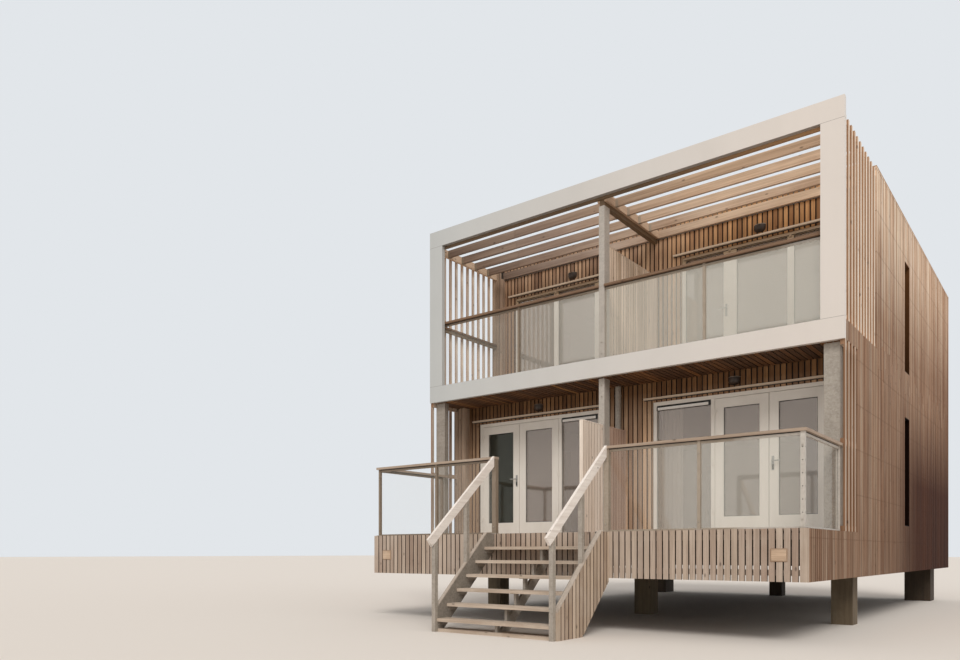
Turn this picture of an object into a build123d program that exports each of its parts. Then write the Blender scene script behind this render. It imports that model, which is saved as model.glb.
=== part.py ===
import os
from math import atan, cos, sin

from build123d import *

os.makedirs("parts", exist_ok=True)

# Beach house on piles, two holiday units wide and two storeys high.
# Millimetres. X runs along the front, Y into the depth, Z up from the sand.
# The origin is on the ground at the middle of the whole footprint, stairs included.

# Overall sizes. Distances in depth are taken from the white frame's face.
house_width = 7200
house_depth = 9645  # to the faces of the boards on the back wall
deck_reach = 1660  # of the front deck, ahead of the white frame
lower_recess = 880  # faces of the front walls' battens
upper_recess = 2055
lower_wing = 150  # the side walls run ahead of the front walls by this much
upper_wing = 95

# Levels
skirt_bottom = 730
deck_z = 1350
balcony_z = 4130
roof_z = 6865
upper_floor_thick = 270
ground_floor_thick = 200
roof_thick = 200

# White picture frame round the balcony
frame_depth = 75
frame_stile = 300
frame_upstand = 25  # of its low rail over the balcony floor
frame_high_rail = 290
frame_over_roof = 165

# Walls
board = 25  # boards on the sides and the back, and battens on the front walls
side_thick = 200
front_thick = 175
back_thick = 200
cladding_bay = 920  # about the width of each panel of boards
cladding_groove = 11

# Tall slot windows in the side and back walls
slot_width = 430
slot_from_face = 4465
back_slot_x = 1800
slot_sill = (180, 80)  # over the lower and the upper floor
slot_head = (100, 115)  # under the heads of the front doors
pane = 24

# Door and window units in the front walls
lower_head_drop = 340  # from the upper floor's underside
upper_head_drop = 430  # from the roof's underside
casing = 60
casing_depth = 90
casing_inset = 15  # the casings' faces lie this far behind the battens
left_margin = 275  # from the inside of the side walls to the units
right_margin = (135, 275)
pair_width = (1800, 1750)  # of each pair of doors, left and right
inner_jamb = (480, 490)  # from the middle of the house to the lower units
upper_inner_jamb = 480
upper_stiles_left = (970, 1940)  # from the unit's left edge to its stiles
upper_stiles_right = (850, 1840)
wide_stile = 220  # beside the upper doors
mullion = 100
threshold = 60

# Door leaves and their hinges
leaf_gap = 6
meeting_gap = 9  # between the two leaves of a pair
leaf_thick = 60
leaf_stile = 136
leaf_top_rail = 145
leaf_bottom_rail = 210
knuckle_radius = 9
knuckle_height = 45
knuckle_gap = 0.3
knuckle_stand = 11  # hinge axis in front of the leaf's face
hinge_plate = 4
hinge_reach = 30
hinge_count = 3
hinge_margin = 260
handle_above_deck = 1080
lever_length = 125
lever_radius = 9
lever_stand = 55
rose_width = 34
rose_height = 210
rose_thick = 8

# Drip boards over the units, wall lamps and downpipe
hood_over = 150
hood_end_gap = 60
hood_depth = 70
hood_thick = 30
hood_rise = 45
lamp_radius = 100
lamp_height = 115
lamp_round = 70  # of its lower edge
lamp_over_head = 225
lamp_shift = 45
pipe_radius = 50
pipe_x = -120
pipe_stand = 70

# Deck
deck_inset = 205  # of the front deck's left end from the side wall's face
deck_board = 60
joist_thick = 60
joist_pitch = 520
beam_width = 160
beam_height = 150

# Skirt of upright slats
slat_thick = 25
skirt_slat = 71
skirt_gap = 17  # about, evened out between the corner boards
skirt_rail = 45
skirt_rail_height = 70
skirt_side_thick = 40
corner_board = 95

# Piles
pile = 300
rear_pile = 510
pile_side_gap = 5  # to the inside of the side walls' line
pile_front = 1640
pile_rear = 685  # from the back wall

# Columns
column_width = 207
column_depth = 110
column_gap = 12  # to the side screens' rails
column_back = 25  # behind the white frame
post_width = 100
post_depth = 170
post_x = -25

# Slatted side screens
screen_slat = 62
screen_slat_thick = 22
screen_pitch = 174
screen_first = 61
screen_rail = 40
screen_rail_height = 70
screen_under_roof = 75

# Pergola
pergola_beam = 45
pergola_beam_height = 135
pergola_rise = 10  # of the beams' undersides over the roof's underside
pergola_first = 400
pergola_pitch = 405
pergola_beams = 4
spine_width = 80
spine_height = 150
spine_drop = 60
edge_steel_depth = 40
edge_steel_height = 120
edge_steel_drop = 40  # under the white frame's upper rail

# Balustrades
rail_width = 95
rail_thick = 35
glass = 12
deck_rail_height = 1145
balcony_rail_height = 1215
deck_post = 40
corner_post = 50
deck_rail_inset = 60  # of the rail's middle from the deck's front
deck_rail_side = 50  # of its middle from the side wall's face
deck_rail_left = 80  # of its middle from the deck's left end
deck_post_steps = (1155, 1285)  # from the stair to the posts beside it
balcony_rail_back = 60
balcony_post_x = 1660

# Dividers between the two units
divider = 60
divider_x = -30
lower_divider_reach = 530
lower_divider_drop = 410  # under the heads of the doors
upper_divider_drop = 215

# Stair
stair_left_x = -875
stair_right_x = 1005
stringer = 60
treads = 6
sand_over_foot = 15  # the lowest riser is shorter by this much
going = 210
tread_thick = 42
tread_depth = 240
tread_overhang = 20  # of the lowest tread over the stringers' feet
stringer_depth = 420  # measured upright
stringer_level = 180  # level stretch at the stringers' upper ends
spine_x = 85
spine_thick = 40
spine_depth = 190  # measured upright
spine_clear = 20  # under the treads' back edges
bracket = 60
foot_board_depth = 240
foot_board_thick = 42
stair_post = 60
stair_top_post = 70
handrail_thick = 38
handrail_depth = 157  # measured upright
handrail_over_cap = 6
handrail_over_foot = 904  # of its lower end over the stringers' feet
handrail_reach = 180  # beyond the stringers' feet
cladding_foot = 590
cladding_side = 670

# Places worked out from the sizes above
rise = (deck_z + sand_over_foot) / (treads + 1)
slope = rise / going
string_reach = deck_reach + tread_depth + (treads - 1) * going - tread_overhang
stair_reach = string_reach + handrail_reach
frame_y = (stair_reach - house_depth) / 2
steel_y = frame_y + frame_depth
back_y = frame_y + house_depth
deck_front_y = frame_y - deck_reach
half_width = house_width / 2
outer_x = half_width - board
inner_x = outer_x - side_thick
back_face_y = back_y - board
inner_back_y = back_face_y - back_thick
lower_wall_y = frame_y + lower_recess + board
upper_wall_y = frame_y + upper_recess + board
lower_wing_y = frame_y + lower_recess - lower_wing
upper_wing_y = frame_y + upper_recess - upper_wing
ceiling_z = balcony_z - upper_floor_thick
roof_low = roof_z - roof_thick
frame_top = roof_z + frame_over_roof
lower_head_z = ceiling_z - lower_head_drop
upper_head_z = roof_low - upper_head_drop
slot_y = frame_y + slot_from_face
slots = [(deck_z + slot_sill[0], lower_head_z - slot_head[0]),
         (balcony_z + slot_sill[1], upper_head_z - slot_head[1])]
deck_left_x = deck_inset - outer_x
deck_rail_z = deck_z + deck_rail_height
balcony_rail_z = balcony_z + balcony_rail_height

# Edges of the units along X, with the middles of the stiles between them
unit_left = left_margin - inner_x
lower_units = [
    (unit_left, unit_left + pair_width[0], -inner_jamb[0]),
    (inner_jamb[1], inner_x - right_margin[0] - pair_width[1], inner_x - right_margin[0]),
]
upper_units = [
    (unit_left, *[unit_left + step for step in upper_stiles_left], -upper_inner_jamb),
    (upper_inner_jamb, *[upper_inner_jamb + step for step in upper_stiles_right],
     inner_x - right_margin[1]),
]


def block(x, y, z):
    """Box between low and high corners, given as pairs."""
    with Locations(((x[0] + x[1]) / 2, (y[0] + y[1]) / 2, (z[0] + z[1]) / 2)):
        Box(abs(x[1] - x[0]), abs(y[1] - y[0]), abs(z[1] - z[0]))


def write(piece, name):
    """Label a finished piece and save it under its own name."""
    piece.part.label = name
    export_step(piece.part, f"parts/{name}.step")


# White frame: rails lie over the stiles' ends
with BuildPart() as frame_rails:
    block((-half_width, half_width), (frame_y, frame_y + frame_depth),
          (ceiling_z, balcony_z + frame_upstand))
    block((-half_width, half_width), (frame_y, frame_y + frame_depth),
          (frame_top - frame_high_rail, frame_top))
write(frame_rails, "frame_rails")

with BuildPart() as frame_stiles:
    for side in (-1, 1):
        block((side * (half_width - frame_stile), side * half_width),
              (frame_y, frame_y + frame_depth),
              (balcony_z + frame_upstand, frame_top - frame_high_rail))
write(frame_stiles, "frame_stiles")


# Side walls: the lower storey comes further forward than the upper one
def side_wall(side):
    x = outer_x if side > 0 else -inner_x
    with BuildSketch(Plane.YZ.offset(x)) as outline:
        with BuildLine():
            Polyline(
                (lower_wing_y, skirt_bottom), (back_face_y, skirt_bottom), (back_face_y, roof_z),
                (upper_wing_y, roof_z), (upper_wing_y, balcony_z), (lower_wing_y, balcony_z),
                close=True,
            )
        make_face()
        for low, high in slots:
            with Locations((slot_y, (low + high) / 2)):
                Rectangle(slot_width, high - low, mode=Mode.SUBTRACT)
    extrude(outline.sketch, amount=-side_thick)


for side, name in ((-1, "side_wall_left"), (1, "side_wall_right")):
    with BuildPart() as side_part:
        side_wall(side)
    write(side_part, name)

with BuildPart() as back_wall:
    with BuildSketch(Plane.XZ.offset(-back_face_y)):
        with Locations((0, (skirt_bottom + roof_z) / 2)):
            Rectangle(2 * inner_x, roof_z - skirt_bottom)
        for low, high in slots:
            with Locations((-back_slot_x, (low + high) / 2), (back_slot_x, (low + high) / 2)):
                Rectangle(slot_width, high - low, mode=Mode.SUBTRACT)
    extrude(amount=back_thick)
write(back_wall, "back_wall")

with BuildPart() as slot_glass:
    for low, high in slots:
        for side in (-1, 1):
            block((side * (outer_x - side_thick / 2), side * (outer_x - side_thick / 2 - pane)),
                  (slot_y - slot_width / 2, slot_y + slot_width / 2), (low, high))
            x = side * back_slot_x
            y = back_face_y - back_thick / 2
            block((x - slot_width / 2, x + slot_width / 2), (y, y + pane), (low, high))
write(slot_glass, "slot_glass")


# Boards on the sides and the back, in bays with a groove between them
def grooves(low, high):
    """Middles of the grooves between the bays of a run."""
    bays = round((high - low) / cladding_bay)
    return [low + (high - low) * i / bays for i in range(1, bays)]


def side_cladding(side, first_y):
    with BuildSketch(Plane.YZ.offset(outer_x if side > 0 else -half_width)) as outline:
        with BuildLine():
            Polyline(
                (first_y, skirt_bottom), (back_y, skirt_bottom), (back_y, roof_z),
                (upper_wing_y, roof_z), (upper_wing_y, balcony_z), (steel_y, balcony_z),
                (steel_y, ceiling_z), (lower_wing_y, ceiling_z), (lower_wing_y, deck_z),
                (first_y, deck_z), close=True,
            )
        make_face()
        for low, high in slots:
            with Locations((slot_y, (low + high) / 2)):
                Rectangle(slot_width, high - low, mode=Mode.SUBTRACT)
        for y in grooves(first_y, back_y):
            with Locations((y, roof_z / 2)):
                Rectangle(cladding_groove, roof_z, mode=Mode.SUBTRACT)
    extrude(outline.sketch, amount=board)


skirt_back_y = deck_front_y + slat_thick
with BuildPart() as cladding_right:
    side_cladding(1, skirt_back_y)
write(cladding_right, "cladding_right")

with BuildPart() as cladding_left:
    side_cladding(-1, frame_y)
    edges = [skirt_back_y, *grooves(skirt_back_y, frame_y), frame_y]
    for low, high in zip(edges, edges[1:]):
        block((deck_left_x - board, deck_left_x),
              (low + (cladding_groove if low > skirt_back_y else 0), high), (skirt_bottom, deck_z))
write(cladding_left, "cladding_left")

with BuildPart() as cladding_back:
    with BuildSketch(Plane.XZ.offset(-back_face_y)):
        with Locations((0, (skirt_bottom + roof_z) / 2)):
            Rectangle(2 * outer_x, roof_z - skirt_bottom)
        for low, high in slots:
            with Locations((-back_slot_x, (low + high) / 2), (back_slot_x, (low + high) / 2)):
                Rectangle(slot_width, high - low, mode=Mode.SUBTRACT)
        for x in grooves(-outer_x, outer_x):
            with Locations((x, roof_z / 2)):
                Rectangle(cladding_groove, roof_z, mode=Mode.SUBTRACT)
    extrude(amount=-board)
write(cladding_back, "cladding_back")

# Floors and roof
with BuildPart() as ground_floor:
    block((-inner_x, inner_x), (lower_wall_y, inner_back_y), (deck_z - ground_floor_thick, deck_z))
write(ground_floor, "ground_floor")

with BuildPart() as upper_floor:
    block((-outer_x, outer_x), (steel_y, lower_wing_y), (ceiling_z, balcony_z))
    block((-inner_x, inner_x), (lower_wing_y, inner_back_y), (ceiling_z, balcony_z))
write(upper_floor, "upper_floor")

with BuildPart() as roof:
    block((-inner_x, inner_x), (upper_wall_y - board, inner_back_y), (roof_low, roof_z))
write(roof, "roof")


# Front walls: piers beside the units and a head over them
def piers(units):
    """Spans of wall left beside the two units of a storey."""
    edges = [-inner_x, units[0][0], units[0][-1], units[1][0], units[1][-1], inner_x]
    return list(zip(edges[0::2], edges[1::2]))


with BuildPart() as lower_piers:
    for span in piers(lower_units):
        block(span, (lower_wall_y, lower_wall_y + front_thick), (deck_z, lower_head_z))
write(lower_piers, "lower_piers")

with BuildPart() as lower_head:
    block((-inner_x, inner_x), (lower_wall_y, lower_wall_y + front_thick),
          (lower_head_z, ceiling_z))
write(lower_head, "lower_head")

with BuildPart() as upper_piers:
    for span in piers(upper_units):
        block(span, (upper_wall_y, upper_wall_y + front_thick), (balcony_z, upper_head_z))
write(upper_piers, "upper_piers")

with BuildPart() as upper_head:
    block((-inner_x, inner_x), (upper_wall_y, upper_wall_y + front_thick),
          (upper_head_z, roof_low))
write(upper_head, "upper_head")

# Door and window casings of the lower storey
casing_y = lower_wall_y - board + casing_inset
leaf_low = deck_z + threshold + leaf_gap
leaf_high = lower_head_z - casing - leaf_gap
hinge_step = (leaf_high - leaf_low - 2 * hinge_margin) / (hinge_count - 1)
hinge_z = [leaf_low + hinge_margin + i * hinge_step for i in range(hinge_count)]
hinge_y = casing_y - knuckle_stand

# Doorway and window light of each unit, between its jambs and its stile
doorways = [(lower_units[0][0] + casing, lower_units[0][1] - casing / 2),
            (lower_units[1][1] + casing / 2, lower_units[1][2] - casing)]
lights = [(lower_units[0][1] + casing / 2, lower_units[0][2] - casing),
          (lower_units[1][0] + casing, lower_units[1][1] - casing / 2)]

# Each leaf: its hinged jamb, the direction to its free edge, and its width
leaves = []
for low, high in doorways:
    width = (high - low - 2 * leaf_gap - meeting_gap) / 2
    leaves += [(low, 1, width), (high, -1, width)]


def knuckle(x, z_low, plate_to):
    """One hinge knuckle and the plate that carries it."""
    with Locations((x, hinge_y, z_low + knuckle_height / 2)):
        Cylinder(knuckle_radius, knuckle_height)
    block((x, plate_to), (hinge_y, hinge_y + hinge_plate), (z_low, z_low + knuckle_height))
    block((x + (plate_to - x) / 3, plate_to), (hinge_y, casing_y), (z_low, z_low + knuckle_height))


with BuildPart() as lower_stiles:
    for low, stile, high in lower_units:
        for x in (low + casing / 2, stile, high - casing / 2):
            block((x - casing / 2, x + casing / 2), (casing_y, casing_y + casing_depth),
                  (deck_z + threshold, lower_head_z - casing))
    for jamb, inward, width in leaves:
        for z in hinge_z:
            knuckle(jamb + inward * leaf_gap / 2, z, jamb - inward * hinge_reach)
write(lower_stiles, "lower_stiles")

with BuildPart() as lower_rails:
    for low, stile, high in lower_units:
        for z in ((deck_z, deck_z + threshold), (lower_head_z - casing, lower_head_z)):
            block((low, high), (casing_y, casing_y + casing_depth), z)
write(lower_rails, "lower_rails")

with BuildPart() as lower_glass:
    for light in lights:
        middle_y = casing_y + casing_depth / 2
        block(light, (middle_y - pane / 2, middle_y + pane / 2),
              (deck_z + threshold, lower_head_z - casing))
write(lower_glass, "lower_glass")

# Four glazed door leaves that open outwards
for number, (jamb, inward, width) in enumerate(leaves, start=1):
    near = jamb + inward * leaf_gap
    far = near + inward * width
    middle_x = (near + far) / 2
    light_low = leaf_low + leaf_bottom_rail
    light_high = leaf_high - leaf_top_rail
    light_width = width - 2 * leaf_stile
    with BuildPart() as leaf:
        with BuildSketch(Plane.XZ.offset(-casing_y)):
            with Locations((middle_x, (leaf_low + leaf_high) / 2)):
                Rectangle(width, leaf_high - leaf_low)
            with Locations((middle_x, (light_low + light_high) / 2)):
                Rectangle(light_width, light_high - light_low, mode=Mode.SUBTRACT)
        extrude(amount=-leaf_thick)
        for z in hinge_z:
            knuckle(jamb + inward * leaf_gap / 2, z + knuckle_height + knuckle_gap,
                    near + inward * hinge_reach)
    write(leaf, f"door_leaf_{number}")
    with BuildPart() as leaf_glass:
        middle_y = casing_y + leaf_thick / 2
        block((middle_x - light_width / 2, middle_x + light_width / 2),
              (middle_y - pane / 2, middle_y + pane / 2), (light_low, light_high))
    write(leaf_glass, f"door_glass_{number}")
    if number in (1, 4):
        x = far - inward * leaf_stile / 2.5
        z = deck_z + handle_above_deck
        with BuildPart() as handle:
            for face, out in ((casing_y, -1), (casing_y + leaf_thick, 1)):
                block((x - rose_width / 2, x + rose_width / 2), (face, face + out * rose_thick),
                      (z - rose_height * 0.65, z + rose_height * 0.35))
                with BuildSketch(Plane.XZ.offset(-face)):
                    with Locations((x, z)):
                        Circle(lever_radius)
                extrude(amount=-out * lever_stand)
                with BuildSketch(Plane.YZ.offset(x + inward * lever_radius)):
                    with Locations((face + out * lever_stand, z)):
                        Circle(lever_radius)
                extrude(amount=-inward * lever_length)
        write(handle, f"door_handle_{number}")

# Upper units: fixed windows and a door beside the divider
upper_casing_y = upper_wall_y - board + casing_inset
upper_low = balcony_z + threshold
upper_high = upper_head_z - casing
upper_lights = []
for unit, stiles in zip(upper_units, ((mullion, wide_stile), (wide_stile, mullion))):
    starts = (unit[0] + casing, unit[1] + stiles[0] / 2, unit[2] + stiles[1] / 2)
    ends = (unit[1] - stiles[0] / 2, unit[2] - stiles[1] / 2, unit[3] - casing)
    upper_lights += zip(starts, ends)

with BuildPart() as upper_frames:
    for unit in upper_units:
        block((unit[0], unit[-1]), (upper_casing_y, upper_casing_y + casing_depth),
              (balcony_z, upper_head_z))
    with BuildSketch(Plane.XZ.offset(-upper_casing_y)):
        for low, high in upper_lights:
            with Locations(((low + high) / 2, (upper_low + upper_high) / 2)):
                Rectangle(high - low, upper_high - upper_low)
    extrude(amount=-casing_depth, mode=Mode.SUBTRACT)
write(upper_frames, "upper_frames")

with BuildPart() as upper_glass:
    for light in upper_lights:
        middle_y = upper_casing_y + casing_depth / 2
        block(light, (middle_y - pane / 2, middle_y + pane / 2), (upper_low, upper_high))
write(upper_glass, "upper_glass")

# Drip boards over the units, each longer at its left end
lamp_xs = [sum(upper_units[side][::3]) / 2 + lamp_shift for side in (0, 1)]
storeys = [(lower_wall_y, lower_head_z, lower_units), (upper_wall_y, upper_head_z, upper_units)]
with BuildPart() as drip_boards:
    for wall_y, head, units in storeys:
        for unit in units:
            block((unit[0] - hood_over, unit[-1] + hood_end_gap), (wall_y - hood_depth, wall_y),
                  (head + hood_rise, head + hood_rise + hood_thick))
write(drip_boards, "drip_boards")

# Wall lamps over the units: half bowls with a rounded lower edge
with BuildPart() as wall_lamps:
    for wall_y, head, units in storeys:
        top = head + lamp_over_head
        low = top - lamp_height
        for x in lamp_xs:
            rim_x = x + lamp_radius
            with BuildSketch(Plane.XZ.offset(-wall_y)) as bowl:
                with BuildLine():
                    side = Line((rim_x, top), (rim_x, low + lamp_round))
                    TangentArc(side @ 1, (rim_x - lamp_round, low), tangent=side % 1)
                    Polyline((rim_x - lamp_round, low), (x, low), (x, top), (rim_x, top))
                make_face()
            revolve(bowl.sketch, axis=Axis((x, wall_y, 0), (0, 0, -1)), revolution_arc=180)
write(wall_lamps, "wall_lamps")

# Steel columns under the frame and the slimmer post between the units
screen_back_x = half_width - screen_slat_thick
screen_rail_x = screen_back_x - screen_rail
column_x = screen_rail_x - column_gap - column_width / 2
column_y = steel_y + column_back
spine_low_z = roof_low - spine_drop
with BuildPart() as columns:
    for side in (-1, 1):
        block((side * column_x - column_width / 2, side * column_x + column_width / 2),
              (column_y, column_y + column_depth), (deck_z, ceiling_z))
    for low, high in ((deck_z, ceiling_z), (balcony_z, spine_low_z)):
        block((post_x - post_width / 2, post_x + post_width / 2),
              (column_y, column_y + post_depth), (low, high))
write(columns, "columns")

# Pergola: dark steel edge and spine, timber beams, and a wall beam
spine_high_z = spine_low_z + spine_height
edge_low_z = frame_top - frame_high_rail - edge_steel_drop
with BuildPart() as pergola_steel:
    block((-screen_rail_x, screen_rail_x), (steel_y, steel_y + edge_steel_depth),
          (edge_low_z, edge_low_z + edge_steel_height))
    block((post_x - spine_width / 2, post_x + spine_width / 2),
          (steel_y + edge_steel_depth, upper_wall_y), (spine_low_z, roof_low))
    block((post_x - spine_width / 2, post_x + spine_width / 2),
          (steel_y + edge_steel_depth, upper_wall_y - board), (roof_low, spine_high_z))
write(pergola_steel, "pergola_steel")

# The beams run between ledgers on the spine and inside the screens
with BuildPart() as pergola_timbers:
    wall_beam_y = upper_wall_y - board - pergola_beam
    beam_z = (roof_low + pergola_rise, roof_low + pergola_rise + pergola_beam_height)
    for side in (-1, 1):
        near = post_x + side * spine_width / 2
        far = side * screen_rail_x
        ledger = side * pergola_beam
        block((near, near + ledger), (steel_y + edge_steel_depth, wall_beam_y), beam_z)
        block((far - ledger, far), (steel_y + edge_steel_depth, upper_wing_y), beam_z)
        for i in range(pergola_beams):
            y = frame_y + pergola_first + i * pergola_pitch
            block((near + ledger, far - ledger), (y, y + pergola_beam), beam_z)
        block((near, side * inner_x), (wall_beam_y, wall_beam_y + pergola_beam), beam_z)
write(pergola_timbers, "pergola_timbers")


# Slatted side screens: upright slats on level rails inside them
def screen(side, y_low, y_high, z_low, z_high, rails):
    outer, back, inner = (side * x for x in (half_width, screen_back_x, screen_rail_x))
    y = frame_y + screen_first
    while y + screen_slat / 2 < y_high:
        block((back, outer), (max(y - screen_slat / 2, y_low), y + screen_slat / 2), (z_low, z_high))
        y += screen_pitch
    for z in rails:
        block((inner, back), (y_low, y_high), (z, z + screen_rail_height))


with BuildPart() as upper_screens:
    top_z = roof_z - screen_under_roof
    for side in (-1, 1):
        screen(side, steel_y, upper_wing_y, balcony_z, top_z,
               (balcony_z, top_z - screen_rail_height))
write(upper_screens, "upper_screens")

with BuildPart() as lower_screens:
    for side in (-1, 1):
        screen(side, frame_y + screen_first - screen_slat / 2, lower_wing_y, deck_z, ceiling_z,
               (deck_z, deck_rail_z, ceiling_z - screen_rail_height))
write(lower_screens, "lower_screens")

# Deck, joists, beams and piles
joist_top = deck_z - deck_board
floor_low = deck_z - ground_floor_thick
skirt_inner_left = deck_left_x + skirt_side_thick
skirt_inner_right = outer_x - skirt_side_thick

with BuildPart() as deck:
    block((skirt_inner_left, skirt_inner_right), (skirt_back_y, frame_y), (joist_top, deck_z))
    block((-outer_x, outer_x), (frame_y, lower_wing_y), (joist_top, deck_z))
    block((-inner_x, inner_x), (lower_wing_y, lower_wall_y), (joist_top, deck_z))
write(deck, "deck")

with BuildPart() as deck_joists:
    y = skirt_back_y + skirt_rail
    while y + joist_thick < lower_wing_y:
        block((skirt_inner_left, skirt_inner_right), (y, y + joist_thick), (floor_low, joist_top))
        y += joist_pitch
write(deck_joists, "deck_joists")

pile_x = inner_x - pile_side_gap - pile / 2
pile_front_y = frame_y + pile_front
pile_rear_y = back_y - pile_rear
beam_low_z = floor_low - beam_height
with BuildPart() as floor_beams:
    for x in (-pile_x + pile / 2, 0, pile_x - pile / 2):
        block((x - beam_width / 2, x + beam_width / 2), (skirt_back_y + skirt_rail, inner_back_y),
              (beam_low_z, floor_low))
write(floor_beams, "floor_beams")

with BuildPart() as piles:
    inset = (rear_pile - pile) / 2
    for x in (-pile_x, 0, pile_x):
        block((x - pile / 2, x + pile / 2), (pile_front_y - pile / 2, pile_front_y + pile / 2),
              (0, beam_low_z))
    for x, size in ((inset - pile_x, rear_pile), (0, pile), (pile_x - inset, rear_pile)):
        block((x - size / 2, x + size / 2), (pile_rear_y - size / 2, pile_rear_y + size / 2),
              (0, beam_low_z))
write(piles, "piles")

# Front skirt: upright slats with gaps on two rails, and a wide board at each corner
slat_span = half_width - deck_left_x - 2 * corner_board
slat_count = round((slat_span - skirt_gap) / (skirt_slat + skirt_gap))
even_gap = (slat_span - slat_count * skirt_slat) / (slat_count + 1)
slat_pitch = skirt_slat + even_gap
slat_start = deck_left_x + corner_board + slat_pitch - skirt_slat / 2
slat_middle_z = (skirt_bottom + deck_z) / 2
with BuildPart() as skirt_front:
    with Locations(*[(slat_start + i * slat_pitch, deck_front_y + slat_thick / 2, slat_middle_z)
                     for i in range(slat_count)]):
        Box(skirt_slat, slat_thick, deck_z - skirt_bottom)
    for x in ((deck_left_x, deck_left_x + corner_board), (half_width - corner_board, half_width)):
        block(x, (deck_front_y, skirt_back_y), (skirt_bottom, deck_z))
    for z in (skirt_bottom + skirt_rail_height, joist_top - skirt_rail_height):
        block((skirt_inner_left, skirt_inner_right), (skirt_back_y, skirt_back_y + skirt_rail),
              (z, z + skirt_rail_height))
write(skirt_front, "skirt_front")

with BuildPart() as skirt_sides:
    for low, high in ((skirt_inner_right, outer_x), (deck_left_x, skirt_inner_left)):
        block((low, high), (skirt_back_y, frame_y), (skirt_bottom, deck_z))
    for low, high in ((skirt_inner_right, outer_x), (-outer_x, skirt_side_thick - outer_x)):
        block((low, high), (frame_y, lower_wing_y), (skirt_bottom, joist_top))
write(skirt_sides, "skirt_sides")

# Balustrades: timber caps, steel posts and glass
deck_rail_y = deck_front_y + deck_rail_inset
deck_rail_x = outer_x - deck_rail_side
deck_rail_left_x = deck_left_x + deck_rail_left
balcony_rail_y = steel_y + balcony_rail_back
cap_low = deck_rail_z - rail_thick
balcony_cap_low = balcony_rail_z - rail_thick
stair_gap_left = stair_left_x + stair_top_post / 2
stair_gap_right = stair_right_x - stair_top_post / 2
deck_post_xs = (stair_left_x - deck_post_steps[0], stair_right_x + deck_post_steps[1])


def cap(x, y, top):
    block(x, y, (top - rail_thick, top))


with BuildPart() as rail_caps:
    half = rail_width / 2
    deck_front = (deck_rail_y - half, deck_rail_y + half)
    cap((deck_rail_left_x - half, stair_gap_left), deck_front, deck_rail_z)
    cap((deck_rail_left_x - half, deck_rail_left_x + half), (deck_rail_y, column_y), deck_rail_z)
    cap((stair_gap_right, deck_rail_x + half), deck_front, deck_rail_z)
    cap((deck_rail_x - half, deck_rail_x + half), (deck_rail_y, column_y), deck_rail_z)
    balcony_front = (steel_y, steel_y + rail_width)
    cap((-screen_back_x, post_x - post_width / 2), balcony_front, balcony_rail_z)
    cap((post_x + post_width / 2, screen_back_x), balcony_front, balcony_rail_z)
    for side in (-1, 1):
        cap((side * (screen_back_x - rail_width), side * screen_back_x),
            (steel_y + rail_width, upper_wing_y), balcony_rail_z)
write(rail_caps, "rail_caps")

with BuildPart() as rail_posts:
    for x, size in ((deck_rail_left_x, deck_post), (deck_post_xs[0], deck_post),
                    (stair_left_x, stair_top_post), (stair_right_x, stair_top_post),
                    (deck_post_xs[1], deck_post), (deck_rail_x, corner_post)):
        block((x - size / 2, x + size / 2), (deck_rail_y - size / 2, deck_rail_y + size / 2),
              (deck_z, cap_low))
    for x in (deck_rail_left_x, deck_rail_x):
        block((x - deck_post / 2, x + deck_post / 2), (frame_y - deck_post, frame_y),
              (deck_z, cap_low))
    for x in (-balcony_post_x, balcony_post_x):
        block((x - deck_post / 2, x + deck_post / 2),
              (balcony_rail_y - deck_post / 2, balcony_rail_y + deck_post / 2),
              (balcony_z, balcony_cap_low))
write(rail_posts, "rail_posts")

with BuildPart() as balustrade_glass:
    balcony_end = half_width - frame_stile / 2
    half = deck_post / 2
    top_half = stair_top_post / 2
    for x in ((deck_rail_left_x + half, deck_post_xs[0] - half),
              (deck_post_xs[0] + half, stair_left_x - top_half),
              (stair_right_x + top_half, deck_post_xs[1] - half),
              (deck_post_xs[1] + half, deck_rail_x - corner_post / 2)):
        block(x, (deck_rail_y - glass / 2, deck_rail_y + glass / 2), (deck_z, cap_low))
    for x, post in ((deck_rail_left_x, deck_post), (deck_rail_x, corner_post)):
        block((x - glass / 2, x + glass / 2), (deck_rail_y + post / 2, frame_y - deck_post),
              (deck_z, cap_low))
    for x in ((-balcony_end, -balcony_post_x - half),
              (-balcony_post_x + half, post_x - post_width / 2),
              (post_x + post_width / 2, balcony_post_x - half),
              (balcony_post_x + half, balcony_end)):
        block(x, (balcony_rail_y - glass / 2, balcony_rail_y + glass / 2),
              (balcony_z, balcony_cap_low))
write(balustrade_glass, "balustrade_glass")

# Dividers between the units, broken by the post
divider_span = (divider_x - divider / 2, divider_x + divider / 2)
behind_post = column_y + post_depth
lower_divider_top = lower_head_z - lower_divider_drop
with BuildPart() as lower_divider:
    block(divider_span, (frame_y - lower_divider_reach, column_y), (deck_z, lower_divider_top))
    block(divider_span, (behind_post, lower_wall_y), (deck_z, lower_divider_top))
write(lower_divider, "lower_divider")

with BuildPart() as upper_divider:
    block(divider_span, (behind_post, upper_wall_y),
          (balcony_z, upper_head_z - upper_divider_drop))
write(upper_divider, "upper_divider")

with BuildPart() as downpipe:
    with Locations((pipe_x, lower_wall_y - pipe_stand, (deck_z + ceiling_z) / 2)):
        Cylinder(pipe_radius, ceiling_z - deck_z)
write(downpipe, "downpipe")

# Stair
tread_tops = [deck_z - (i + 1) * rise for i in range(treads)]
tread_fronts = [deck_front_y - tread_depth - i * going for i in range(treads)]
tread_left = stair_left_x + stringer / 2
tread_right = stair_right_x - stringer / 2
string_foot_y = frame_y - string_reach
nose_y = deck_front_y - stringer_level
string_foot_z = deck_z - (nose_y - string_foot_y) * slope


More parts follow.
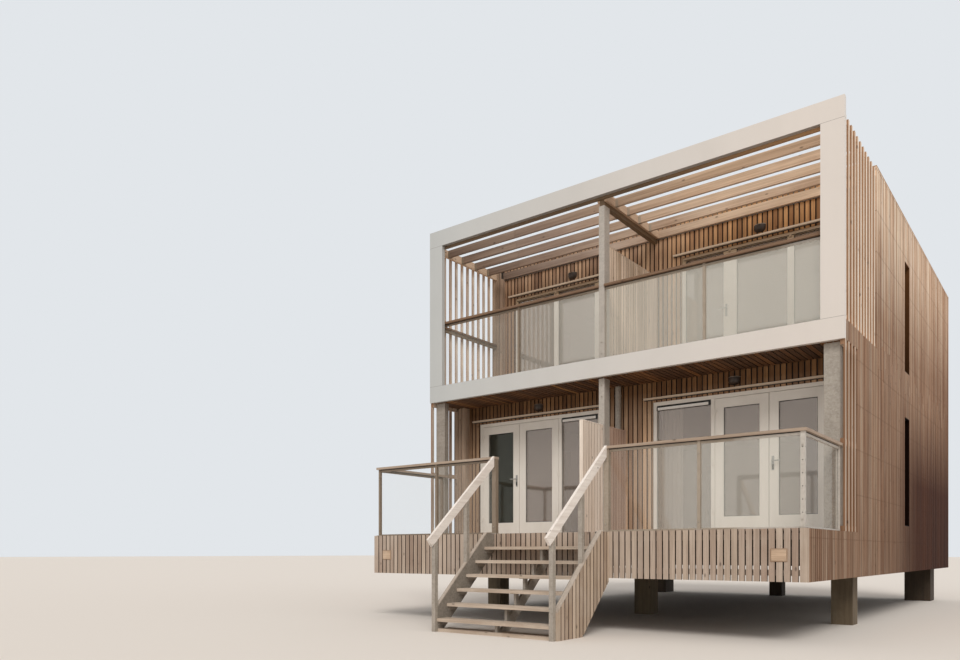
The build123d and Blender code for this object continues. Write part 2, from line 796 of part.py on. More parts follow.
def plate(points, x_low, thick):
    """Upright plate across X from an outline of (y, z) points."""
    with BuildSketch(Plane.YZ.offset(x_low)) as outline:
        with BuildLine():
            Polyline(*points, close=True)
        make_face()
    extrude(outline.sketch, amount=thick)


with BuildPart() as stair_stringers:
    foot_back_y = string_foot_y + (stringer_depth - string_foot_z) / slope
    side_outline = [
        (deck_front_y, deck_z), (nose_y, deck_z), (string_foot_y, string_foot_z),
        (string_foot_y, 0), (foot_back_y, 0),
        (deck_front_y, (deck_front_y - foot_back_y) * slope),
    ]
    plate(side_outline, stair_left_x - stringer / 2, stringer)
    plate(side_outline, stair_right_x - stringer / 2, stringer)
write(stair_stringers, "stair_stringers")

with BuildPart() as stair_treads:
    for top, front in zip(tread_tops, tread_fronts):
        block((tread_left, tread_right), (front, front + tread_depth), (top - tread_thick, top))
    block((tread_left, tread_right), (string_foot_y, string_foot_y + foot_board_depth),
          (0, foot_board_thick))
write(stair_treads, "stair_treads")

last_back = tread_fronts[-1] + tread_depth


def spine_top(y):
    """Height of the middle stringer's upper edge at y."""
    return tread_tops[-1] - tread_thick - spine_clear + (y - last_back) * slope


with BuildPart() as stair_spine:
    foot_y = last_back - (spine_top(last_back) - foot_board_thick) / slope
    spine_high = spine_top(deck_front_y)
    plate([(foot_y, foot_board_thick), (deck_front_y, spine_high),
           (deck_front_y, spine_high - spine_depth),
           (foot_y + spine_depth / slope, foot_board_thick)],
          spine_x - spine_thick / 2, spine_thick)
    for top, front in zip(tread_tops, tread_fronts):
        y = front + tread_depth / 2
        block((spine_x - spine_thick / 2, spine_x + spine_thick / 2),
              (y - bracket / 2, y + bracket / 2),
              (max(spine_top(y) - bracket, foot_board_thick), top - tread_thick))
write(stair_spine, "stair_spine")

hand_high_y = deck_rail_y - rail_width / 2
hand_high_z = deck_rail_z + handrail_over_cap
hand_foot_y = frame_y - stair_reach
hand_foot_z = string_foot_z + handrail_over_foot
hand_slope = (hand_high_z - hand_foot_z) / (hand_high_y - hand_foot_y)


def handrail_under(y):
    """Height of the handrails' lower edge at y."""
    return hand_high_z - (hand_high_y - y) * hand_slope - handrail_depth


with BuildPart() as stair_handrails:
    tilt = atan(hand_slope)
    foot_back = hand_foot_y + handrail_depth * cos(tilt) * sin(tilt)
    for x in (stair_left_x, stair_right_x):
        plate([(hand_high_y, hand_high_z), (hand_foot_y, hand_foot_z),
               (foot_back, handrail_under(foot_back)), (hand_high_y, handrail_under(hand_high_y))],
              x - handrail_thick / 2, handrail_thick)
write(stair_handrails, "stair_handrails")


def stringer_over(y):
    """Height of the stringers' upper edge at y."""
    return deck_z - (nose_y - y) * slope


with BuildPart() as stair_posts:
    foot_post_y = string_foot_y - stair_post / 2
    middle_y = (deck_rail_y + foot_post_y) / 2
    for x in (stair_left_x, stair_right_x):
        low, high = foot_post_y - stair_post / 2, foot_post_y + stair_post / 2
        plate([(low, 0), (high, 0), (high, handrail_under(high)), (low, handrail_under(low))],
              x - stair_post / 2, stair_post)
        low, high = middle_y - stair_post / 2, middle_y + stair_post / 2
        plate([(low, stringer_over(low)), (high, stringer_over(high)),
               (high, handrail_under(high)), (low, handrail_under(low))],
              x - stair_post / 2, stair_post)
write(stair_posts, "stair_posts")

with BuildPart() as stair_cladding:
    with BuildSketch(Plane.YZ.offset(stair_right_x + stringer / 2)):
        with BuildLine():
            Polyline(
                (deck_front_y, deck_z), (nose_y, deck_z), (string_foot_y, string_foot_z),
                (string_foot_y, 0), (string_foot_y + cladding_foot, 0),
                (deck_front_y, deck_z - cladding_side), close=True,
            )
        make_face()
        gaps = int((deck_front_y - string_foot_y) / slat_pitch)
        with Locations(*[(string_foot_y + (i + 1) * slat_pitch - even_gap / 2, deck_z / 2)
                         for i in range(gaps)]):
            Rectangle(even_gap, 2 * deck_z, mode=Mode.SUBTRACT)
    extrude(amount=slat_thick)
write(stair_cladding, "stair_cladding")
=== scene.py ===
import math
import random

import bpy
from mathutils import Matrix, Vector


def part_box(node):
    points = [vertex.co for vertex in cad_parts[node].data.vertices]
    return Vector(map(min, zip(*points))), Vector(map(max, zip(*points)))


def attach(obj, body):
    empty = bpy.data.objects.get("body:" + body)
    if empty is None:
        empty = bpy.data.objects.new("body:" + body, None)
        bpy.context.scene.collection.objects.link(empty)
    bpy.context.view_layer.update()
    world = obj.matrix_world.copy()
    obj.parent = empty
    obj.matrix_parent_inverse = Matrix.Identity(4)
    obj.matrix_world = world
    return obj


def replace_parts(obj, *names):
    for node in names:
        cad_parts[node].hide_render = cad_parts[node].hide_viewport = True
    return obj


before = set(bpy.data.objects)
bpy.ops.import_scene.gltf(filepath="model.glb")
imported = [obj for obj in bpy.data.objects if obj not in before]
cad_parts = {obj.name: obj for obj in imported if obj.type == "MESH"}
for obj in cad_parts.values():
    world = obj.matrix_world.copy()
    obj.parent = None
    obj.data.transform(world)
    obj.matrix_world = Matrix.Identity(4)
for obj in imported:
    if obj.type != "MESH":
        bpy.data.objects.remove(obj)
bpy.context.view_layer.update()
random.seed(66)
print("frame loaded")


# Shader helpers
def tint(red, green, blue):
    # a screen colour, 0 to 255, as the linear colour that shaders take
    parts = [c / 255 for c in (red, green, blue)]
    return (*[c / 12.92 if c <= 0.04045 else ((c + 0.055) / 1.055) ** 2.4 for c in parts], 1)


def sums(operation, swapped=False):
    # one of the operators below, which adds a Math node
    def work(wire, other):
        first, second = (other, wire) if swapped else (wire, other)
        return wire.finish.node("ShaderNodeMath", {"operation": operation}, {0: first, 1: second})

    return work


class Wire:
    # a socket that can be used in sums
    def __init__(self, finish, socket):
        self.finish = finish
        self.socket = socket

    __add__, __radd__ = sums("ADD"), sums("ADD", swapped=True)
    __sub__, __rsub__ = sums("SUBTRACT"), sums("SUBTRACT", swapped=True)
    __mul__, __rmul__ = sums("MULTIPLY"), sums("MULTIPLY", swapped=True)
    __truediv__ = sums("DIVIDE")
    __gt__, __lt__ = sums("GREATER_THAN"), sums("LESS_THAN")


class Finish:
    # the nodes of one material, or of the world
    def __init__(self, owner):
        self.owner = owner
        self.owner.use_nodes = True
        self.tree = self.owner.node_tree
        self.tree.nodes.clear()

    def node(self, kind, settings=None, sockets=None, out=0):
        made = self.tree.nodes.new(kind)
        for key, value in (settings or {}).items():
            if key == "stops":
                fillRamp(made.color_ramp, value)
            else:
                setattr(made, key, value)
        for key, value in (sockets or {}).items():
            if isinstance(value, Wire):
                self.tree.links.new(value.socket, made.inputs[key])
            else:
                made.inputs[key].default_value = value
        return None if out is None else Wire(self, made.outputs[out])

    def spot(self, stretch=(1, 1, 1), shift=(0, 0, 0)):
        # the object's own coordinates, stretched and moved
        spot = self.node("ShaderNodeTexCoord", out="Object")
        return self.node("ShaderNodeVectorMath", {"operation": "MULTIPLY_ADD"},
                         {0: spot, 1: stretch, 2: shift})

    def axis(self, name):
        return self.node("ShaderNodeSeparateXYZ", sockets={0: self.spot()}, out=name)

    def noise(self, spot, scale, detail=3, roughness=0.55):
        return self.node("ShaderNodeTexNoise", sockets={
            "Vector": spot, "Scale": scale, "Detail": detail, "Roughness": roughness})

    def ramp(self, value, tones):
        # screen colours, spread evenly from 0 to 1
        stops = [(i / (len(tones) - 1), tint(*tone)) for i, tone in enumerate(tones)]
        return self.node("ShaderNodeValToRGB", {"stops": stops}, {0: value})

    def band(self, value, low, high):
        # runs from 0 at low to 1 at high
        return self.node("ShaderNodeMapRange", {"clamp": True}, {
            "Value": value, "From Min": low, "From Max": high})

    def mix(self, factor, first, second, blend="MIX"):
        # second is a screen colour, and so is first unless it comes from a node
        first = first if isinstance(first, Wire) else tint(*first)
        return self.node("ShaderNodeMix", {"data_type": "RGBA", "blend_type": blend}, {
            0: factor, 6: first, 7: tint(*second)}, out=2)

    def fade(self, colour, axis, low, high, shade):
        # nothing at low, the whole of the shade at high
        return self.mix(self.band(self.axis(axis), low, high), colour, shade, "MULTIPLY")

    def near(self, axis, place, reach):
        # 1 within reach of a place on an axis
        return self.node("ShaderNodeMath", {"operation": "COMPARE"},
                         {0: self.axis(axis), 1: place, 2: reach})

    def facing(self, axis):
        # 1 on a face that looks along the axis, 0 on one that lies along it
        normal = self.node("ShaderNodeNewGeometry", out="True Normal")
        turn = self.node("ShaderNodeSeparateXYZ", sockets={0: normal}, out=axis)
        return turn * turn

    def bump(self, height, strength, distance):
        return self.node("ShaderNodeBump", sockets={
            "Height": height, "Strength": strength, "Distance": distance})

    def surface(self, sockets):
        shader = self.node("ShaderNodeBsdfPrincipled", sockets=sockets)
        self.node("ShaderNodeOutputMaterial", sockets={0: shader}, out=None)
        return self.owner


def fillRamp(ramp, stops):
    while len(ramp.elements) < len(stops):
        ramp.elements.new(1)
    for element, (place, colour) in zip(ramp.elements, stops):
        element.position = place
        element.color = colour


# Meshes of straight pieces
boxSides = ((3, 2, 1, 0), (4, 5, 6, 7), (0, 1, 5, 4), (1, 2, 6, 5), (2, 3, 7, 6), (3, 0, 4, 7))
sliver = 0.006  # boards narrower than this are left out


class Stack:
    # gathers boards, bars and rods into one mesh, each with a tone of its own
    def __init__(self, name):
        self.name = name
        self.points = []
        self.faces = []
        self.tones = []

    def solid(self, corners, tone=None):
        # four corners of the lower face, then the four over them
        start = len(self.points)
        self.points += corners
        self.faces += [[start + i for i in side] for side in boxSides]
        self.tones += [random.random() if tone is None else tone] * 8

    def box(self, x, y, z, tone=None):
        (x0, x1), (y0, y1), (z0, z1) = sorted(x), sorted(y), sorted(z)
        flat = ((x0, y0), (x1, y0), (x1, y1), (x0, y1))
        self.solid([(a, b, z0) for a, b in flat] + [(a, b, z1) for a, b in flat], tone)

    def board(self, face, part, back, tone):
        # one board on a face: its axes across, along and through, then its back and its front
        axes, inner, outer = face
        spans = {axes[0]: part[:2], axes[1]: part[2:],
                 axes[2]: (inner, outer - math.copysign(back, outer - inner))}
        self.box(spans["x"], spans["y"], spans["z"], tone)

    def hung(self, x, edge, size):
        # a bar before an edge (y, z): its front and rear out from there, its foot and top down
        (y, z), (front, rear, low, high) = edge, size
        self.box(x, (y - front, y - rear), (z - low, z - high))

    def sloped(self, x, start, end, height, tone=None):
        # a bar across x whose underside runs from start to end, both (y, z)
        x0, x1 = sorted(x)
        (y0, z0), (y1, z1) = sorted((start, end))
        low = [(x0, y0, z0), (x1, y0, z0), (x1, y1, z1), (x0, y1, z1)]
        self.solid(low + [(a, b, c + height) for a, b, c in low], tone)

    def rod(self, middle, radius, length, axis, sides=14, tone=0.5):
        # a round bar along axis 0, 1 or 2
        start = len(self.points)
        u, v = [i for i in range(3) if i != axis]
        for end in (-length / 2, length / 2):
            for i in range(sides):
                turn = 2 * math.pi * i / sides
                point = list(middle)
                point[axis] += end
                point[u] += radius * math.cos(turn)
                point[v] += radius * math.sin(turn)
                self.points.append(tuple(point))
        ring = list(range(start, start + sides))
        self.faces += [[i, j, j + sides, i + sides] for i, j in zip(ring, [*ring[1:], start])]
        self.faces += [ring[::-1], [i + sides for i in ring]]
        self.tones += [tone] * 2 * sides

    def make(self, material, slotName, body="house", edge=0):
        mesh = bpy.data.meshes.new(self.name)
        mesh.from_pydata(self.points, [], self.faces)
        mesh.attributes.new("tone", "FLOAT", "POINT").data.foreach_set("value", self.tones)
        return place(self.name, mesh, material, slotName, body, edge)


def show(name, data):
    # a new object in the scene
    made = bpy.data.objects.new(name, data)
    bpy.context.scene.collection.objects.link(made)
    return made


def place(name, mesh, material, slotName, body="house", edge=0):
    mesh.materials.append(material)
    piece = show(name, mesh)
    if edge:
        softened = piece.modifiers.new("edges", "BEVEL")
        softened.width = edge
        softened.segments = 1
    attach(piece, body)
    return piece


def dress(material, *names):
    # gives CAD nodes their finish
    for name in names:
        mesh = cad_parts[name].data
        mesh.materials.clear()
        mesh.materials.append(material)


def about(middle, half):
    return middle - half, middle + half


def cut(left, right, low, high, holes):
    # what is left of an upright board beside, under and over the holes
    parts = [(left, right, low, high)]
    for holeLeft, holeRight, holeLow, holeHigh in holes:
        rest = []
        for a, b, c, d in parts:
            if b <= holeLeft or a >= holeRight or d <= holeLow or c >= holeHigh:
                rest.append((a, b, c, d))
                continue
            rest += [(a, holeLeft, c, d)] if a < holeLeft else []
            rest += [(holeRight, b, c, d)] if b > holeRight else []
            inner = (max(a, holeLeft), min(b, holeRight))
            rest += [(*inner, c, holeLow)] if c < holeLow else []
            rest += [(*inner, holeHigh, d)] if d > holeHigh else []
        parts = rest
    return [part for part in parts if part[1] - part[0] > sliver]


def clad(stack, span, own, runs, holes, *faces):
    # boards side by side over a span, with butt joints where a run of them is long
    look = {"uneven": 0, "longest": 9, "joint": 0, **own}
    count = round((span[1] - span[0]) / look["pitch"])
    pitch = (span[1] - span[0]) / count
    for i in range(count):
        left = span[0] + i * pitch + look["gap"] / 2
        right = left + pitch - look["gap"]
        for low, high in runs((left + right) / 2) if callable(runs) else runs:
            ends = [low, high]
            if high - low > look["longest"]:
                ends.insert(1, random.uniform(*look["joints"]))
            for bottom, top in zip(ends, ends[1:]):
                tone, back = random.random(), random.uniform(0, look["uneven"])
                for part in cut(left, right, bottom, top - look["joint"], holes):
                    for face in faces:
                        stack.board(face, part, back, tone)


# Finishes; each look goes over what its kind has in common
def wood(name, own):
    # sawn boards: a tone for each board, streaks along the grain, knots and weather patches
    look = {"along": "Z", "grain": (55, 1.8), "cloud": 1.0, "spread": 0.8, "streaks": 0.4,
            "weather": 0.4, "relief": 0.5, "shine": 0.5, "fades": (), "corners": (), **own}
    finish = Finish(bpy.data.materials.new(name))
    if "boards" in look:
        axis, pitch, start = look["boards"]
        number = finish.node("ShaderNodeMath", {"operation": "FLOOR"},
                             {0: (finish.axis(axis) - start) / pitch})
        tone = finish.node("ShaderNodeTexWhiteNoise", {"noise_dimensions": "1D"}, {"W": number})
    else:
        tone = finish.node("ShaderNodeAttribute", {"attribute_name": "tone"}, out="Fac")
    (across, along), grainAxis = look["grain"], "XYZ".index(look["along"])
    stretch, knotStretch = [across] * 3, [7] * 3
    stretch[grainAxis], knotStretch[grainAxis] = along, 3.5
    shift = tone * 37  # so that no two boards share their grain
    broad = finish.noise(finish.spot([s * 0.4 for s in stretch], shift), 1, 2, 0.5)
    streak = finish.noise(finish.spot(stretch, shift), 1, 5, 0.62)
    fine = finish.noise(finish.spot([3 * s for s in stretch], shift), 1, 3, 0.6)
    cloud = finish.noise(finish.spot(), look["cloud"], 4, 0.6)
    knots = finish.node("ShaderNodeTexVoronoi", sockets={
        "Vector": finish.spot(knotStretch, shift), "Scale": 1}, out="Distance")
    dark, streaks = look["dark"], look["streaks"]
    colour = finish.ramp(tone * look["spread"] + (1 - look["spread"]) * cloud, look["tones"])
    colour = finish.mix(finish.band(broad, 0.42, 0.68) * streaks * 0.8, colour, dark)
    colour = finish.mix(finish.band(streak, 0.44, 0.72) * streaks, colour, dark)
    colour = finish.mix(finish.band(cloud, 0.45, 0.75) * look["weather"], colour, look["bleached"])
    colour = finish.mix((1 - finish.band(knots, 0.05, 0.12)) * 0.65, colour,
                        [c * 0.62 for c in dark])
    for fade in look["fades"]:
        colour = finish.fade(colour, *fade)
    if "runs" in look:
        # broad upright runs, paler and darker, several boards wide
        wide, tall, light, deep = look["runs"]
        run = finish.noise(finish.spot((wide, wide, tall)), 1, 4, 0.65)
        colour = finish.mix(finish.band(run, 0.5, 0.66) * 0.55, colour, deep, "MULTIPLY")
        colour = finish.mix(finish.band(run, 0.48, 0.34) * 0.45, colour, light, "SCREEN")
    if "nails" in look:
        # level rows of nail marks
        pitch, tall, shade = look["nails"]
        level = finish.node("ShaderNodeMath", {"operation": "PINGPONG"},
                            {0: finish.axis("Z"), 1: pitch / 2})
        colour = finish.mix((level < tall) * finish.band(fine, 0.35, 0.55) * 0.6, colour, shade)
    if "painted_shade" in look:
        # painted shade: darker where two bands meet, as far as the far corner
        (first, low, high), (second, under, over), end, shade = look["painted_shade"]
        spot = finish.axis(first)
        reach = finish.band(spot, low, high) * finish.band(finish.axis(second), under, over)
        colour = finish.mix(reach * (spot < end), colour, shade, "MULTIPLY")
    if "edge" in look:
        # painted shade: faces that look along the axis, the board edges in the gaps, are darkened,
        # but not at a wall's corner
        axis, low, high, shade = look["edge"]
        spot = finish.axis(axis)
        edge = (finish.facing(axis) > 0.5) * (spot > low) * (spot < high)
        for corner in look["corners"]:
            edge = edge * (1 - finish.near(axis, corner, 0.005))
        colour = finish.mix(edge, colour, shade, "MULTIPLY")
    return finish.surface({
        "Base Color": colour,
        "Specular IOR Level": look["shine"],
        "Roughness": 0.72 + 0.2 * fine,
        "Normal": finish.bump(streak * 0.6 + fine * 0.4, look["relief"], 0.002),
    })


def steel(name, own):
    # hot-dip zinc: pale and dark patches of spangle, level drag marks, a little shine
    look = {"patches": 7, "fades": (), **own}
    finish = Finish(bpy.data.materials.new(name))
    cells = finish.node("ShaderNodeTexVoronoi", sockets={"Vector": finish.spot(), "Scale": 45},
                        out="Color")
    spangle = finish.node("ShaderNodeSeparateColor", sockets={0: cells})
    patch = finish.noise(finish.spot((1, 1, 0.6)), look["patches"], 5, 0.65)
    drag = finish.noise(finish.spot((3, 3, 60)), 1, 4, 0.6)
    colour = finish.ramp(patch * 0.55 + spangle * 0.2 + drag * 0.25, look["tones"])
    for fade in look["fades"]:
        colour = finish.fade(colour, *fade)
    if "bright" in look:
        middle, reach, shade = look["bright"]
        colour = finish.mix(finish.near("X", middle, reach) * 0.2, colour, shade)
    return finish.surface({
        "Base Color": colour,
        "Metallic": 0.2,
        "Roughness": 0.42 + 0.25 * patch,
        "Normal": finish.bump(patch * 0.7 + spangle * 0.3, 0.15, 0.002),
    })


def paint(name, own):
    # painted metal or timber, slightly dulled and dirty in patches
    look = {"dirt": 0.5, "patches": 5, "rough": 0.5, "grain": 0.1, "metal": 0, "shine": 0.5,
            "fades": (), "seams": (), **own}
    finish = Finish(bpy.data.materials.new(name))
    patch = finish.noise(finish.spot((1, 1, 0.4)), look["patches"], 4, 0.6)
    speck = finish.noise(finish.spot(), 180, 2)
    colour = finish.mix(finish.band(patch, 0.4, 0.8) * look["dirt"], look["colour"],
                        look["soiled"])
    for fade in look["fades"]:
        colour = finish.fade(colour, *fade)
    for seam in look["seams"]:
        colour = finish.mix(finish.near("Z", seam, look["seam"]) * 0.6, colour, look["shadow"])
    return finish.surface({
        "Base Color": colour,
        "Metallic": look["metal"],
        "Specular IOR Level": look["shine"],
        "Roughness": look["rough"] + 0.12 * patch,
        "Normal": finish.bump(speck, look["grain"], 0.0005),
    })


def pane(name, own):
    # clear glass under a pale coat, uneven in patches, that stands in for the sky's reflection:
    # painted reflection
    look = {"low": own["colour"], "mirror": 0, "haze": 0.12, "reflection_patches": 1.2, "shine": 0.5,
            "denser": (), **own}
    finish = Finish(bpy.data.materials.new(name))
    reflection_patches = finish.noise(finish.spot((1, 1, 0.25)), look["reflection_patches"], 4, 0.6)
    alpha = look["body"] + look["haze"] * reflection_patches
    if "side" in look:
        # the panes that run back from the front carry less of the painted reflection
        alpha = alpha * (finish.facing("Y") * (1 - look["side"]) + look["side"])
    for low, high, under, over, end, more in look["denser"]:
        # the painted reflection grows stronger towards the right, most of all on the upper panes
        level = (finish.axis("Z") > under) * (finish.axis("Z") < over)
        right = finish.band(finish.axis("X"), low, high) * (finish.axis("X") < end)
        alpha = alpha + right * level * more
    if "upper" in look:
        # the panes over this height carry more painted reflection all over
        floor, more = look["upper"]
        alpha = alpha + (finish.axis("Z") > floor) * more
    storey = finish.band(finish.axis("Z"), 3.5, 4.5)
    return finish.surface({
        "Base Color": finish.mix(storey, look["low"], look["colour"]),
        "Metallic": look["mirror"],
        "Specular IOR Level": look["shine"],
        "Roughness": 0.02 + 0.05 * reflection_patches,
        "Alpha": alpha,
        "IOR": 1.5,
    })


def cloth(name, look):
    # thin woven curtain cloth
    finish = Finish(bpy.data.materials.new(name))
    threads = []
    for direction in "XZ":
        wave = finish.node("ShaderNodeTexWave", {"bands_direction": direction},
                           {"Vector": finish.spot(), "Scale": 260, "Distortion": 0.6})
        threads.append(finish.node("ShaderNodeSeparateColor", sockets={0: wave}))
    weave = threads[0] * 0.5 + threads[1] * 0.5
    patch = finish.noise(finish.spot(), 5)
    return finish.surface({
        "Base Color": finish.mix(patch * 0.4, look["colour"], look["shade"]),
        "Roughness": 0.85 + 0.1 * weave,
        "Sheen Weight": 0.3,
        "Normal": finish.bump(weave, 0.3, 0.0005),
    })


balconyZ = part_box("upper_floor")[1].z
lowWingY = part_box("side_wall_right")[0].y
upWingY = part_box("upper_screens")[1].y
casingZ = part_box("upper_frames")[1].z
sideWood = wood("side_boards", {
    "grain": (48, 1.4), "cloud": 0.7,
    "tones": [(255, 250, 240), (246, 216, 188), (255, 240, 218), (214, 178, 150), (255, 246, 230),
              (250, 224, 198), (230, 194, 166)], "dark": (158, 122, 96), "streaks": 0.6,
    "bleached": (250, 236, 220), "shine": 0.15, "runs": (5.5, 0.28, (78, 64, 50), (178, 150, 128)),
    # painted light: the side is paler near the roof and towards the front, darker towards the rear
    # and low down, darkest low towards the rear; the board edges in the gaps carry painted shade
    "fades": [("Y", 0.0, 6.4, (226, 212, 202)), ("Z", 6.4, 4.6, (184, 171, 163)),
              ("Z", 4.4, 1.2, (218, 213, 209))],
    "painted_shade": (("Y", -0.6, 2.2), ("Z", 3.9, 2.3), 6.35, (134, 96, 70)),
    "nails": (0.62, 0.008, (112, 84, 64)), "edge": ("Y", -4.89, 6.37, (158, 130, 108)),
    "corners": (lowWingY, upWingY),
})
screenWood = wood("screen_slats", {
    "boards": ("Y", 0.174, -3.2935),
    "tones": [(255, 248, 238), (244, 226, 208), (252, 240, 226), (234, 214, 194), (248, 232, 214)],
    "dark": (170, 142, 120), "bleached": (252, 244, 234), "weather": 0.35, "shine": 0.2,
    # painted shade: the lower screens, under the balcony, are darker, and so are the slats' front
    # faces
    "fades": [("Z", 4.2, 3.7, (206, 198, 192))], "edge": ("Y", -4, 0, (186, 158, 136)),
})
skirtWood = wood("skirt_boards", {
    "grain": (50, 2.2), "cloud": 1.2, "boards": ("X", 0.08783, -3.2666),
    "tones": [(204, 188, 172), (174, 154, 138), (192, 174, 156), (162, 140, 124), (184, 166, 150),
              (200, 182, 164)], "dark": (118, 98, 84), "bleached": (206, 194, 182),
    # painted shade on the board edges in the gaps
    "edge": ("X", -3.36, 3.59, (84, 72, 62)),
})
stairWood = wood("stair_boards", {
    "grain": (50, 2.2), "cloud": 1.4, "boards": ("Y", 0.08783, -6.1975),
    "tones": [(214, 196, 176), (182, 160, 140), (200, 180, 158), (168, 146, 126), (192, 172, 152)],
    "dark": (118, 98, 82), "bleached": (212, 200, 186),
    # painted shade on the board edges in the gaps
    "edge": ("Y", -6.19, -4.93, (120, 100, 86)),
})
facade = {
    "cloud": 0.9, "spread": 0.85,
    "tones": [(248, 216, 182), (178, 144, 116), (220, 184, 150), (144, 112, 90), (232, 194, 158),
              (162, 128, 102), (204, 168, 136)], "dark": (100, 74, 58), "streaks": 0.45,
    "bleached": (226, 204, 182), "weather": 0.3, "shine": 0.2,
    # painted shade on the batten edges in the gaps
    "edge": ("X", -3.6, 3.6, (124, 100, 82)),
}
lowerFacadeWood = wood("lower_facade_battens", {
    # painted shade: darker towards the left, and just under the ceiling
    **facade, "fades": [("X", 0.5, -3.3, (214, 208, 202)), ("Z", 3.3, 3.7, (178, 160, 136))],
})
upperFacadeWood = wood("upper_facade_battens", {
    # painted shade: darker towards the left, and warmer and darker towards the right
    **facade, "fades": [("X", 0.5, -3.3, (212, 204, 200)), ("X", -0.5, 1.5, (236, 214, 182))],
})
wingWood = wood("wing_boards", {
    "grain": (50, 1.6), "cloud": 0.9, "tones": [(208, 184, 162), (164, 138, 116), (188, 162, 140)],
    "dark": (104, 82, 66), "streaks": 0.5, "bleached": (208, 192, 176), "weather": 0.35,
    # painted shadow on the right-hand wing boards beside the column, below the ceiling
    "painted_shade": (("X", 3.38, 3.46), ("Z", 3.95, 3.9), 9, (96, 84, 74)),
})
lowerDividerWood = wood("lower_divider_boards", {
    "grain": (46, 1.6), "cloud": 1.1,
    "tones": [(250, 240, 228), (236, 220, 204), (246, 232, 218), (226, 208, 190)],
    "dark": (172, 148, 128), "bleached": (248, 240, 230), "weather": 0.3,
    # painted shade: darker from just behind the front end, under the soffit, and on the board
    # edges in the gaps
    "fades": [("Y", -3.2, -2.9, (198, 180, 172))], "edge": ("Y", -3.79, 0, (150, 126, 104)),
})
upperDividerWood = wood("upper_divider_boards", {
    "grain": (46, 1.6), "cloud": 1.1,
    "tones": [(218, 196, 174), (238, 216, 194), (196, 172, 148), (228, 206, 182), (244, 224, 204)],
    "dark": (140, 114, 92), "streaks": 0.45, "bleached": (238, 222, 204), "weather": 0.3,
    # painted shade on the board edges in the gaps
    "edge": ("Y", -3.79, 0, (110, 84, 64)),
})
capWood = wood("sawn_caps", {
    "along": "X", "grain": (60, 1.8), "spread": 0.5, "boards": ("Z", 0.2, 0),
    "tones": [(182, 162, 144), (160, 140, 122), (172, 152, 134)], "dark": (112, 92, 76),
    "bleached": (196, 182, 168), "weather": 0.45, "fades": [("Z", 3.0, 4.0, (196, 176, 158))],
})
railWood = wood("handrail_planks", {
    "along": "Y", "grain": (55, 2.6), "cloud": 1.4, "spread": 0.4, "boards": ("X", 1, 0),
    "tones": [(248, 241, 234), (236, 227, 219), (243, 235, 228)], "dark": (180, 163, 150),
    "streaks": 0.35, "bleached": (250, 245, 239), "weather": 0.5,
})
slopeWood = wood("stringer_caps", {
    "along": "Y", "grain": (55, 2.6), "cloud": 1.4, "spread": 0.4, "boards": ("X", 1, 0),
    "tones": [(190, 176, 162), (172, 158, 144), (182, 168, 154)], "dark": (124, 108, 94),
    "bleached": (204, 194, 184), "weather": 0.5,
})
beamWood = wood("pergola_beams", {
    "along": "X", "grain": (55, 1.3), "cloud": 0.8,
    "tones": [(242, 216, 188), (212, 182, 154), (232, 204, 174), (196, 166, 140), (240, 212, 184)],
    "dark": (142, 110, 84), "streaks": 0.5, "bleached": (240, 222, 200), "weather": 0.3,
    # painted shade: darker and cooler towards the left
    "fades": [("X", 1.4, -1.2, (200, 200, 208)), ("X", -1.0, -3.2, (190, 182, 176))],
})
ledgerWood = wood("pergola_ledgers", {
    "along": "Y", "grain": (55, 1.5), "cloud": 0.8, "spread": 0.7,
    "tones": [(226, 200, 174), (204, 174, 146), (216, 190, 164)], "dark": (150, 118, 92),
    "bleached": (230, 214, 196), "weather": 0.35,
})
soffitWood = wood("soffit_slats", {
    "along": "Y", "grain": (55, 2.0), "cloud": 0.9, "spread": 0.9,
    "tones": [(192, 140, 82), (86, 56, 30), (120, 80, 42), (68, 44, 24), (148, 100, 54),
              (84, 54, 30), (106, 70, 38), (60, 40, 22)], "dark": (48, 28, 14),
    "bleached": (134, 92, 54), "weather": 0.2, "relief": 0.4, "shine": 0.45,
    # painted shade on the slat edges in the gaps
    "edge": ("X", -3.6, 3.6, (164, 146, 126)),
})
deckWood = wood("deck_boards", {
    "along": "X", "cloud": 1.1, "spread": 0.7,
    "tones": [(194, 174, 156), (166, 146, 130), (180, 160, 142), (154, 134, 118)],
    "dark": (114, 94, 78), "streaks": 0.45, "bleached": (202, 188, 174),
})
treadWood = wood("stair_treads", {
    "along": "X", "cloud": 1.5, "spread": 0.5, "boards": ("Z", 0.195, 0),
    "tones": [(214, 198, 180), (192, 174, 156), (204, 186, 168)], "dark": (128, 108, 90),
    "streaks": 0.45, "bleached": (224, 212, 198), "weather": 0.5, "relief": 0.6,
})
# painted shade: this near-black backing sits behind the boards and in the dividers' cores, so that
# the gaps read as shade
darkWood = wood("backing", {
    "grain": (40, 2.0), "spread": 0.5,
    "tones": [(58, 46, 38), (46, 37, 31), (66, 52, 42)], "dark": (32, 25, 20),
    "bleached": (74, 62, 52), "weather": 0.3, "relief": 0.3,
})
floorWood = wood("floor_timber", {
    "along": "Y", "grain": (30, 1.2), "spread": 0.5,
    "tones": [(104, 90, 76), (88, 76, 64), (118, 102, 86)], "dark": (58, 48, 38),
    "bleached": (130, 118, 104), "weather": 0.3, "relief": 0.3,
})
pileWood = wood("pile_timber", {
    "grain": (26, 1.5), "cloud": 2.2, "spread": 0.4, "boards": ("X", 1, 0.5),
    "tones": [(138, 124, 98), (116, 100, 78), (98, 84, 66)], "dark": (60, 50, 38), "streaks": 0.5,
    # painted shade: the piles further back under the house are darker
    "bleached": (156, 144, 122), "relief": 0.6, "fades": [("Y", 0.5, 5.5, (150, 140, 134))],
})
